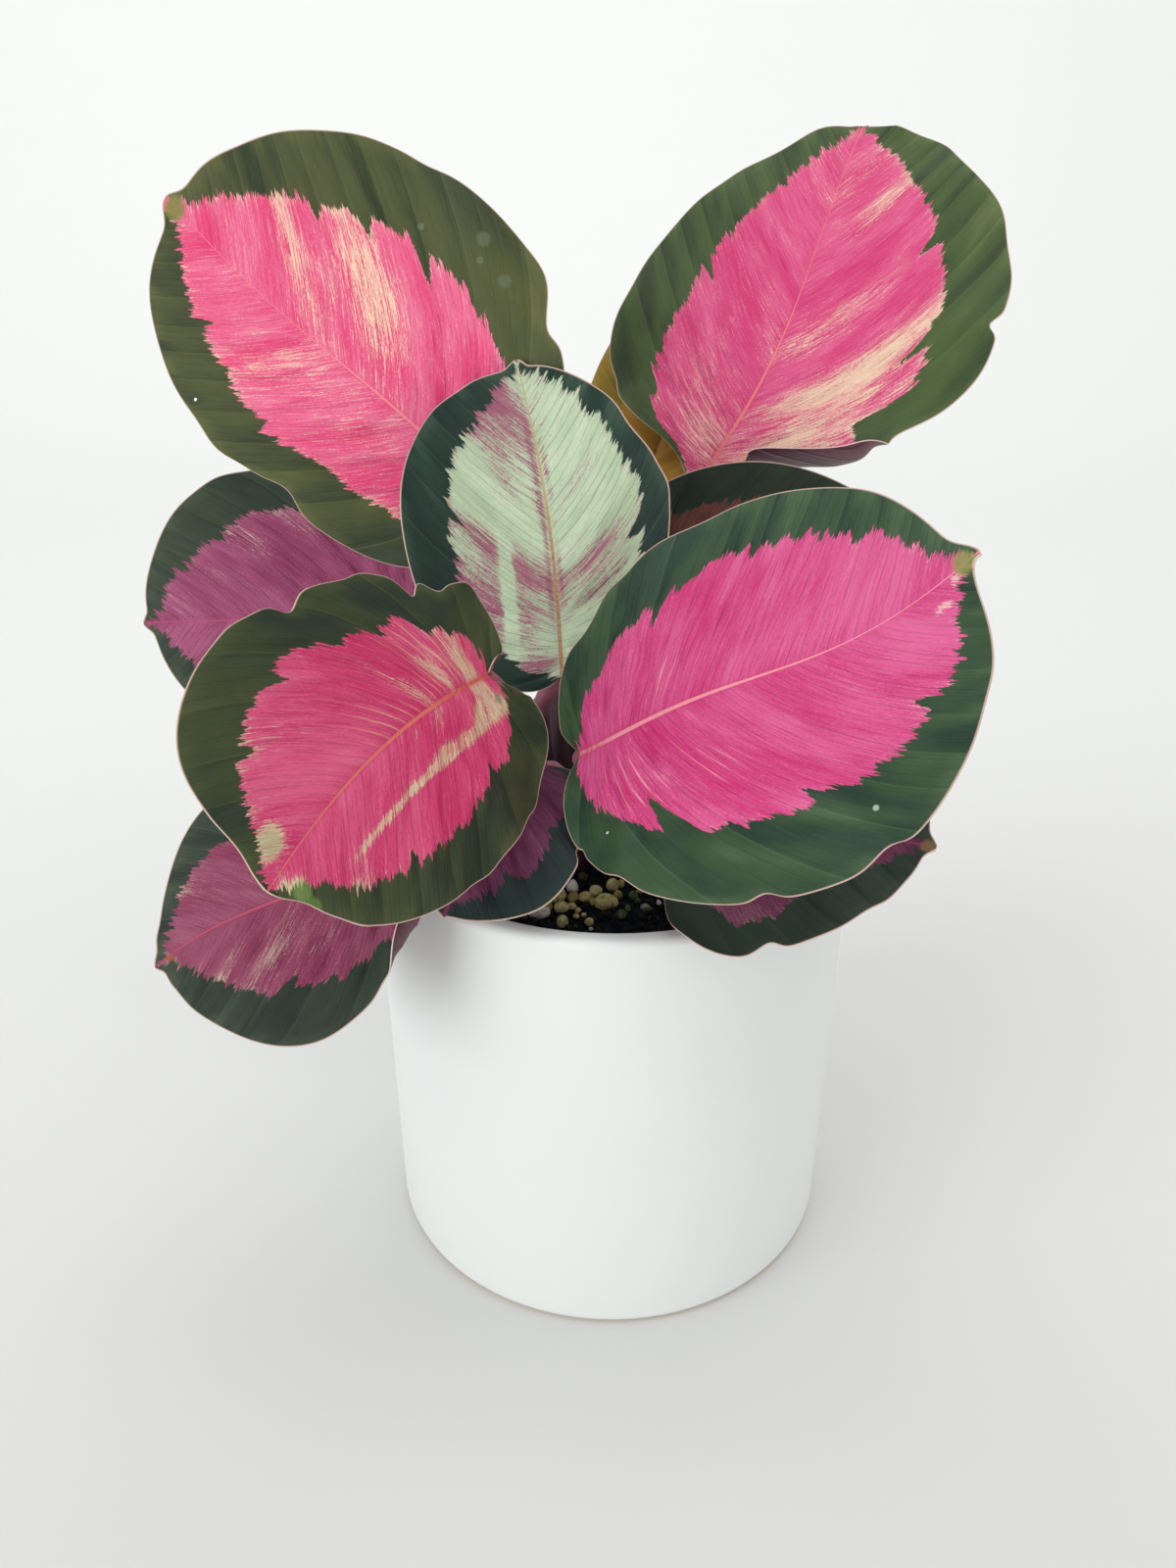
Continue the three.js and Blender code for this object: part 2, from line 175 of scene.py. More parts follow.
class Finish:  # a material and the nodes behind its surface
    def __init__(self, name, roughness=0.5, specular=0.5):
        self.material = bpy.data.materials.new(name)
        self.material.use_nodes = True
        self.tree = self.material.node_tree
        self.surface = self.tree.nodes["Principled BSDF"]
        self.surface.inputs["Roughness"].default_value = roughness
        self.surface.inputs["Specular IOR Level"].default_value = specular

    def node(self, kind, settings=None, inputs=None, out=0):
        made = self.tree.nodes.new(kind)
        for key, value in (settings or {}).items():
            if key == "stops":
                while len(made.color_ramp.elements) < len(value):
                    made.color_ramp.elements.new(0.5)
                for element, (place, colour) in zip(made.color_ramp.elements, value):
                    element.position = place
                    element.color = colour
            else:
                setattr(made, key, value)
        for key, value in (inputs or {}).items():
            if isinstance(value, Wire):
                self.tree.links.new(value.socket, made.inputs[key])
            else:
                made.inputs[key].default_value = value
        return Wire(self, made.outputs[out])

    def field(self, name):
        return self.node("ShaderNodeAttribute", {"attribute_name": name}, out="Fac")

    def place(self):
        return self.node("ShaderNodeTexCoord", out="Object")

    def space(self, x, y, z=0.0):
        return self.node("ShaderNodeCombineXYZ", inputs={0: x, 1: y, 2: z})

    def noise(self, where, scale=1.0, detail=2.0, roughness=0.5):
        inputs = {"Vector": where, "Scale": scale, "Detail": detail, "Roughness": roughness}
        return self.node("ShaderNodeTexNoise", inputs=inputs)

    def rise(self, value, low, high, start=0.0, end=1.0):
        inputs = {"Value": value, "From Min": low, "From Max": high, "To Min": start, "To Max": end}
        return self.node("ShaderNodeMapRange", {"interpolation_type": "SMOOTHSTEP"}, inputs)

    def mix(self, share, first, second, blend="MIX"):
        settings = {"data_type": "RGBA", "blend_type": blend}
        return self.node("ShaderNodeMix", settings, {0: share, 6: first, 7: second}, out=2)

    def ramp(self, share, stops):
        settings = {"stops": [(place, paint(*colour)) for place, colour in stops]}
        return self.node("ShaderNodeValToRGB", settings, {"Fac": share})

    def colour(self, value):
        self.tree.links.new(value.socket, self.surface.inputs["Base Color"])

    def roughness(self, value):
        self.tree.links.new(value.socket, self.surface.inputs["Roughness"])

    def bump(self, height, distance, strength=1.0):
        inputs = {"Height": height, "Distance": distance, "Strength": strength}
        made = self.node("ShaderNodeBump", inputs=inputs)
        self.tree.links.new(made.socket, self.surface.inputs["Normal"])


# lengths in millimetres; down is how many degrees it looks below the horizon
camera = {"place": (-7, -324.5, 298.5), "down": 25.6, "lens": 28.125, "sensor": 36, "nearest": 10}


def addCamera():
    bpy.ops.object.camera_add(location=Vector(camera["place"]) * mm)
    cam = added("camera")
    cam.rotation_euler = (math.radians(90 - camera["down"]), 0, 0)
    cam.data.lens = camera["lens"]
    cam.data.sensor_width = camera["sensor"]
    cam.data.clip_start = camera["nearest"] * mm
    bpy.context.scene.camera = cam


# places and sizes in metres; key and fill face the plant, and wash the backdrop behind it
light = {"sky": (1.0, 1.0, 1.0), "skyStrength": 0.6}
lamps = {
    "key": {"place": (-1.8, -1.4, 0.45), "aim": (0, 0, 0.15), "size": 1.6, "watts": 30,
            "colour": (0.96, 1.0, 0.99)},
    "fill": {"place": (1.4, -1.6, 0.35), "aim": (0, 0, 0.15), "size": 1.4, "watts": 11,
             "colour": (1.0, 1.0, 0.98)},
    "wash": {"place": (0, 0.2, 2.4), "aim": (0, 1.7, 0.5), "size": 2.0, "watts": 19,
             "colour": (1.0, 1.0, 0.99)},
}


def addLights():
    world = bpy.data.worlds.new("studio")
    bpy.context.scene.world = world
    world.use_nodes = True
    sky = world.node_tree.nodes["Background"]
    sky.inputs["Color"].default_value = (*light["sky"], 1)
    sky.inputs["Strength"].default_value = light["skyStrength"]
    for name, lamp in lamps.items():
        bpy.ops.object.light_add(type="AREA", location=lamp["place"])
        obj = added(name)
        obj.data.size = lamp["size"]
        obj.data.energy = lamp["watts"]
        obj.data.color = lamp["colour"]
        towards = Vector(lamp["aim"]) - obj.location
        obj.rotation_euler = towards.to_track_quat("-Z", "Y").to_euler()


# the floor runs back and turns up in a curve: metres, and the colours that it fades between, a painted shade
# in front that lightens to painted light towards the back
stage = {
    "width": 5.0, "front": -2.0, "back": 1.0, "curve": 0.7, "height": 2.5, "rows": 60,
    "nearShadedColour": (223, 223, 222), "farLitColour": (241, 242, 241), "fade": (-0.35, 0.5),
}


def addStage():
    bpy.ops.mesh.primitive_grid_add(x_subdivisions=2, y_subdivisions=stage["rows"], size=2)
    floor = added("floor")
    places = points(floor.data)
    straight = stage["back"] - stage["front"]
    bend = stage["curve"] * math.pi / 2
    run = (places[:, 1] + 1) / 2 * (straight + bend + stage["height"])
    turn = np.clip((run - straight) / stage["curve"], 0, math.pi / 2)
    level = stage["front"] + np.minimum(run, straight) + stage["curve"] * np.sin(turn)
    height = stage["curve"] * (1 - np.cos(turn)) + np.maximum(0, run - straight - bend)
    movePoints(floor.data, np.stack([places[:, 0] * stage["width"] / 2, level, height], -1))
    smooth(floor, 60)
    cover = Finish("backdrop", roughness=0.9, specular=0.1)
    depth = cover.node("ShaderNodeSeparateXYZ", inputs={0: cover.place()}, out="Y")
    far = cover.rise(depth, *stage["fade"])
    cover.colour(cover.mix(far, paint(*stage["nearShadedColour"]), paint(*stage["farLitColour"])))
    floor.data.materials.append(cover.material)


addCamera()
addLights()
addStage()
print("camera, light and floor are set")

# What all blades share, in millimetres. The rib thickens the midrib. The grids are rows and columns, and a
# blade longer than large has the finer one.
blade = {
    "thickness": 0.7, "ribHeight": 1.5, "ribWidth": 1.7, "ribTaper": 0.8, "ribStart": 0.4, "tipWidth": 1,
    "bendPower": 1.15, "waveReach": 2.2, "curlReach": 3, "lobePlace": 0.085, "tipShare": 0.022,
    "firstRow": 0.006, "steps": 240, "beyond": 1.06, "large": 80, "largeGrid": (200, 120),
    "smallGrid": (140, 90), "seed": 1.7, "seedStep": 5.3,
}

# Each blade's size and pose in millimetres and degrees, as in the solids. The pairs of width, cup, taper
# and square are for the left and right halves.
# - base and foot: where the stalk meets the blade and the soil. rise: how straight the stalk runs, in
#   millimetres at the soil and at the blade. veer bends it aside below the blade.
# - heading, pitch, bend, roll and twist turn the midrib, and arc and sway swing it aside, in shares of the
#   length.
# - width is a half width; fullness, taper, square and lobe shape the outline, and tip its point.
# - cup and fold lift the halves, wave and waves are the height and number of the margin's waves, and veins
#   leans the rows of the mesh as the side veins lean.
# - trim adds to the margin and curl raises it: side (0 left, 1 right), place along the blade, half width of
#   the place, millimetres. furl rolls the margin over beside the base.
leafForms = {
    "back_left": {
        "base": (-33, 26, 218), "foot": (-15, 13), "rise": (45, 30), "heading": -63, "pitch": 40,
        "bend": -9, "roll": 67, "twist": 4, "length": 133, "width": (49, 58), "cup": (3, 7), "fold": 0,
        "arc": -0.02, "sway": 0.01, "lobe": 0.04, "fullness": 0.93, "taper": (0.06, 0.1),
        "square": (0.14, -0.03), "wave": 1.2, "waves": 4,
        "trim": [(1, 0.64, 0.05, 1), (1, 0.54, 0.03, -0.8), (1, 0.335, 0.04, 1.2), (1, 0.285, 0.03, -4),
                 (0, 0.56, 0.04, 2.2), (0, 0.435, 0.04, -3)],
        "curl": [(1, 0.9, 0.05, 1.5), (0, 0.44, 0.05, -2)],
    },
    "back_right": {
        "base": (23, 44, 218), "foot": (5, 17), "rise": (45, 30), "heading": 37, "pitch": 51, "bend": -10,
        "roll": -22, "twist": 14, "length": 139, "width": (45, 59), "cup": (10, 11), "fold": 7, "arc": 0.05,
        "sway": 0.01, "lobe": -0.08, "fullness": 0.92, "taper": (0.33, 0.02), "square": (-0.06, -0.08),
        "wave": 1.2, "waves": 4, "veins": (1, 0.9), "tip": 0.01,
        "trim": [(1, 0.1, 0.05, 7), (1, 0.19, 0.065, 18), (1, 0.3, 0.04, -4), (1, 0.975, 0.01, -2.5),
                 (1, 0.95, 0.015, 1.5), (1, 0.85, 0.05, 3), (1, 0.67, 0.05, 2.3), (1, 0.56, 0.05, 1.3),
                 (1, 0.487, 0.012, -3), (1, 0.42, 0.05, 1.6), (0, 0.9, 0.08, 1), (0, 0.65, 0.04, -1),
                 (0, 0.42, 0.05, -1.2), (0, 0.25, 0.03, -1.5)],
        "curl": [(1, 0.93, 0.03, 1.5)],
        "furl": {"side": 1, "place": 0.15, "half": 0.1, "width": 19, "angle": 120},
    },
    "rear": {
        "base": (8, 56, 211), "foot": (-5, 22), "rise": (45, 28), "heading": 23, "pitch": 55, "bend": -15,
        "roll": -5, "twist": 1, "length": 90, "width": (27, 32), "cup": (9, 10), "fold": 6, "arc": 0.04,
        "sway": -0.01, "lobe": 0.07, "fullness": 0.9, "taper": (0.16, 0.1), "square": (0.03, 0),
        "wave": 0.8, "waves": 3,
    },
    "centre": {
        "base": (-14, -14, 182), "foot": (-18, 4), "rise": (30, 20), "veer": (-16, 16, 4), "heading": -15,
        "pitch": 63, "bend": -13, "roll": 13, "twist": 5, "length": 88, "width": (41, 33), "cup": (30, 28),
        "fold": 6, "arc": 0.02, "sway": 0, "lobe": 0.05, "fullness": 0.95, "taper": (0.09, 0.2),
        "square": (0.02, -0.04), "wave": 0.8, "waves": 3,
        "trim": [(0, 0.84, 0.05, -1.5), (0, 0.6, 0.12, 0.6), (1, 0.63, 0.05, -1.6), (1, 0.5, 0.03, 1),
                 (1, 0.4, 0.04, -1.3)],
    },
    "mid_right": {
        "base": (3, -1, 188), "foot": (9, 8), "rise": (30, 16), "heading": 83, "pitch": 15, "bend": -16,
        "roll": -66, "twist": 1, "length": 83, "width": (41, 30), "cup": (10, 10), "fold": 6, "arc": 0.02,
        "sway": 0, "lobe": 0.07, "fullness": 0.91, "taper": (0.18, 0.1), "square": (0.01, 0), "wave": 0.8,
        "waves": 3,
    },
    "front_right": {
        "base": (-9, -41, 171), "foot": (2, -14), "rise": (36, 6), "heading": 113, "pitch": 22, "bend": 26,
        "roll": -56, "twist": -2, "length": 106, "width": (44, 53), "cup": (8, 7), "fold": 6, "arc": -0.04,
        "sway": -0.02, "lobe": 0.06, "fullness": 0.89, "taper": (-0.02, 0.04), "square": (0.09, -0.04),
        "wave": 1.2, "waves": 4,
        "trim": [(0, 0.06, 0.03, -2.2), (0, 0.15, 0.04, 2.2), (0, 0.27, 0.04, 2), (0, 0.55, 0.06, 0.8),
                 (1, 0.985, 0.015, -2.4), (1, 0.81, 0.04, -1.1), (1, 0.6, 0.025, -2.7),
                 (1, 0.455, 0.02, -1.9), (1, 0.245, 0.025, -1.7), (1, 0.15, 0.01, -1.2),
                 (1, 0.1, 0.04, 1.4)],
        "curl": [(1, 0.6, 0.03, -1.5), (1, 0.24, 0.03, 1.2)],
    },
    "front_left": {
        "base": (-32, -37, 191), "foot": (-20, -8), "rise": (44, 8), "heading": -152, "pitch": 1,
        "bend": -28, "roll": 59, "twist": -2, "length": 84, "width": (39, 42), "cup": (6, 6), "fold": 1,
        "arc": 0.01, "sway": 0, "lobe": 0.16, "fullness": 0.75, "taper": (0.06, -0.21),
        "square": (0.04, 0.08), "wave": 1.2, "waves": 4,
        "trim": [(1, 0.04, 0.02, -4), (1, 0.145, 0.04, 2.6), (1, 0.225, 0.02, -2.3), (1, 0.285, 0.02, -4.8),
                 (1, 0.36, 0.03, 1.3), (1, 0.51, 0.02, -3.2), (1, 0.6, 0.03, 0.6), (1, 0.95, 0.03, 2),
                 (0, 0.95, 0.04, 1.6), (0, 0.87, 0.04, 1.1), (0, 0.5, 0.04, 1), (0, 0.27, 0.04, 1.6),
                 (0, 0.06, 0.01, -1.8)],
        "curl": [(1, 0.25, 0.04, -2), (1, 0.15, 0.04, 2), (1, 0.51, 0.03, -1.5)],
    },
    "mid_left": {
        "base": (-58, 41, 184), "foot": (-24, 16), "rise": (32, 20), "heading": -72, "pitch": -2,
        "bend": -14, "roll": 76, "twist": 4, "length": 103, "width": (43, 43), "cup": (12, 13), "fold": 5,
        "arc": -0.04, "sway": 0, "lobe": 0.07, "fullness": 0.97, "taper": (0.13, 0.09),
        "square": (-0.03, -0.1), "wave": 1, "waves": 3,
        "trim": [(1, 0.56, 0.04, 0.8)],
    },
    "low_left": {
        "base": (-54, -42, 144), "foot": (-26, 1), "rise": (22, 10), "heading": -98, "pitch": -8,
        "bend": -32, "roll": 35, "twist": -4, "length": 74, "width": (40, 35), "cup": (6, 5), "fold": 0,
        "arc": -0.04, "sway": -0.01, "lobe": 0.06, "fullness": 0.91, "taper": (0.12, 0.15),
        "square": (-0.07, -0.13), "wave": 0.8, "waves": 3,
        "trim": [(0, 0.115, 0.055, 12), (0, 0.2, 0.055, 8), (0, 0.27, 0.03, -2), (0, 0.38, 0.07, -1),
                 (1, 0.87, 0.05, -1.2), (0, 0.88, 0.04, -1.2)],
        "furl": {"side": 0, "place": 0.15, "half": 0.09, "width": 14, "angle": 155},
    },
    "low_front": {
        "base": (-18, -28, 162), "foot": (-10, -13), "rise": (26, 8), "heading": -148, "pitch": -9,
        "bend": -37, "roll": 24, "twist": 2, "length": 52, "width": (27, 18), "cup": (14, 14), "fold": 6,
        "arc": 0.02, "sway": 0.01, "lobe": 0.07, "fullness": 0.88, "taper": (-0.02, 0.1),
        "square": (0.04, 0), "wave": 0.6, "waves": 3, "tip": 0.01,
        "trim": [(0, 0.86, 0.14, -2.3), (0, 0.46, 0.03, -2)],
    },
    "low_right": {
        "base": (17, -32, 146), "foot": (9, -7), "rise": (8, 8), "heading": 114, "pitch": 15, "bend": -16,
        "roll": -30, "twist": 1, "length": 66, "width": (31, 40), "cup": (10, 11), "fold": 5, "arc": 0.03,
        "sway": 0.01, "lobe": 0.03, "fullness": 0.9, "taper": (0.1, 0.16), "square": (0, -0.03),
        "wave": 0.8, "waves": 3,
        "trim": [(1, 0.22, 0.06, 2), (1, 0.53, 0.035, -2.9), (1, 0.76, 0.05, -2), (1, 0.87, 0.04, -1)],
        "curl": [(1, 0.53, 0.03, 1)],
    },
}
# what a blade has where its own entry says nothing
plainForm = {
    "veins": (1.5, 1.25), "tip": 0.035, "veer": (0, 0, 0), "trim": [], "curl": [],
    "furl": {"side": 1, "place": 0.5, "half": 0.1, "width": 1, "angle": 0},
}


def midribFrame(form, along):  # the midrib's point, forward, side and up at distances along it
    length = form["length"]
    steps = np.linspace(0, blade["beyond"] * length, blade["steps"] + 1)
    heading = math.radians(form["heading"])

    def direction(distance):
        pitch = np.radians(form["pitch"] + form["bend"] * (distance / length) ** blade["bendPower"])
        flat = np.cos(pitch)
        return np.stack([flat * math.sin(heading), flat * math.cos(heading), np.sin(pitch)], -1)

    strides = direction((steps[1:] + steps[:-1]) / 2) * (steps[1] - steps[0])
    line = np.vstack([[0, 0, 0], np.cumsum(strides, 0)]) + np.array(form["base"], float)
    reach = np.clip(along, 0, steps[-1])
    point = np.stack([np.interp(reach, steps, line[:, axis]) for axis in range(3)], -1)
    forward = direction(reach)
    point = point + forward * np.minimum(0, along)[..., None]
    level = np.array([math.cos(heading), -math.sin(heading), 0.0])
    upright = np.cross(np.broadcast_to(level, forward.shape), forward)
    roll = np.radians(form["roll"] + form["twist"] * reach / length)[..., None]
    side = level * np.cos(roll) + upright * np.sin(roll)
    up = upright * np.cos(roll) - level * np.sin(roll)
    return point, forward, side, up


def pickSide(form, key, right):
    return np.where(right, form[key][1], form[key][0])


def bladeSurface(form, s, t):  # s runs from the base to the tip, t from the left margin to the right one
    length = form["length"]
    right = t >= 0
    sign = np.where(right, 1.0, -1.0)
    share = np.abs(t)
    turn = math.pi * s
    lobeShare = s / blade["lobePlace"]
    spike = length * form["tip"] * np.exp(-(((1 - s) / blade["tipShare"]) ** 2))
    shape = 1 + pickSide(form, "taper", right) * np.cos(turn)
    shape = shape + pickSide(form, "square", right) * np.cos(2 * turn)
    lobe = form["lobe"] * length * lobeShare * np.exp(1 - lobeShare)
    reachOut = pickSide(form, "width", right) * np.maximum(0, np.sin(turn)) ** form["fullness"] * shape
    for side, place, half, size in form["trim"]:
        reachOut = reachOut + size * (right == (side == 1)) * np.exp(-(((s - place) / half) ** 2))
    reachOut = np.maximum(blade["tipWidth"] / 2, reachOut)
    marginAlong = length * (1 - np.cos(turn)) / 2 - lobe + spike
    veinStart = length * s ** form["veins"][0] + spike
    along = veinStart + (marginAlong - veinStart) * share ** form["veins"][1]
    across = reachOut * share
    point, forward, outward, up = midribFrame(form, along)
    curvature = np.radians(pickSide(form, "cup", right)) / pickSide(form, "width", right)
    fold = math.radians(form["fold"])
    furl = form["furl"]
    tight = math.radians(furl["angle"]) / furl["width"] * (right == (furl["side"] == 1))
    tight = curvature + tight * np.exp(-(((s - furl["place"]) / furl["half"]) ** 4))
    plain = np.minimum(across, np.maximum(0, reachOut - furl["width"]))
    bend = fold + curvature * plain
    slope = bend + tight * (across - plain)
    reach = np.clip(along / length, 0, 1)
    offset = form["arc"] * np.sin(math.pi * reach) + form["sway"] * np.sin(2 * math.pi * reach)
    spread = (np.sin(bend) - math.sin(fold)) / curvature + (np.sin(slope) - np.sin(bend)) / tight
    sideways = sign * spread + offset * length
    ripple = np.sin(2 * math.pi * form["waves"] * s + 2 * sign) * np.sqrt(np.maximum(0, np.sin(turn)))
    raised = (math.cos(fold) - np.cos(bend)) / curvature + (np.cos(bend) - np.cos(slope)) / tight
    raised = raised + form["wave"] * share ** blade["waveReach"] * ripple
    for side, place, half, size in form["curl"]:
        size = size * (right == (side == 1)) * share ** blade["curlReach"]
        raised = raised + size * np.exp(-(((s - place) / half) ** 2))
    surface = point + outward * sideways[..., None] + up * raised[..., None]
    normal = up * np.cos(slope)[..., None] - outward * (sign * np.sin(slope))[..., None]
    return {
        "surface": surface, "normal": normal, "along": along, "across": across * sign, "margin": reachOut,
    }


# A side vein leaves the midrib at a lean that grows towards the tip, and near the base the veins fan out.
# mainVein and fineVein are spacings in millimetres. A vein's start is found by halving the stretch from
# behind the base to ahead of the tip.
fan = {
    "lean": 0.72, "gain": 0.34, "open": 1.3, "near": 12, "curl": 0.0095, "spread": 20, "sway": 1.2,
    "swayLength": 9, "mainVein": 13.0, "fineVein": 3.25, "behind": 20.0, "ahead": 1.3, "halvings": 30,
}


def veinPlace(form, along, across):  # which side vein passes through a point, in evenly spaced millimetres
    length = form["length"]
    away = np.abs(across)
    low = np.full(np.shape(away), -fan["behind"])
    high = np.full(np.shape(away), fan["ahead"] * length)
    for step in range(fan["halvings"]):
        start = (low + high) / 2
        lean = fan["lean"] + fan["gain"] * start / length - fan["open"] * np.exp(-start / fan["near"])
        reached = start + away * lean + fan["curl"] * away ** 2 < along
        low = np.where(reached, start, low)
        high = np.where(reached, high, start)
    place = start + fan["spread"] * fan["open"] * (1 - np.exp(-start / fan["near"]))
    return place + fan["sway"] * np.sin(place / fan["swayLength"] + length)
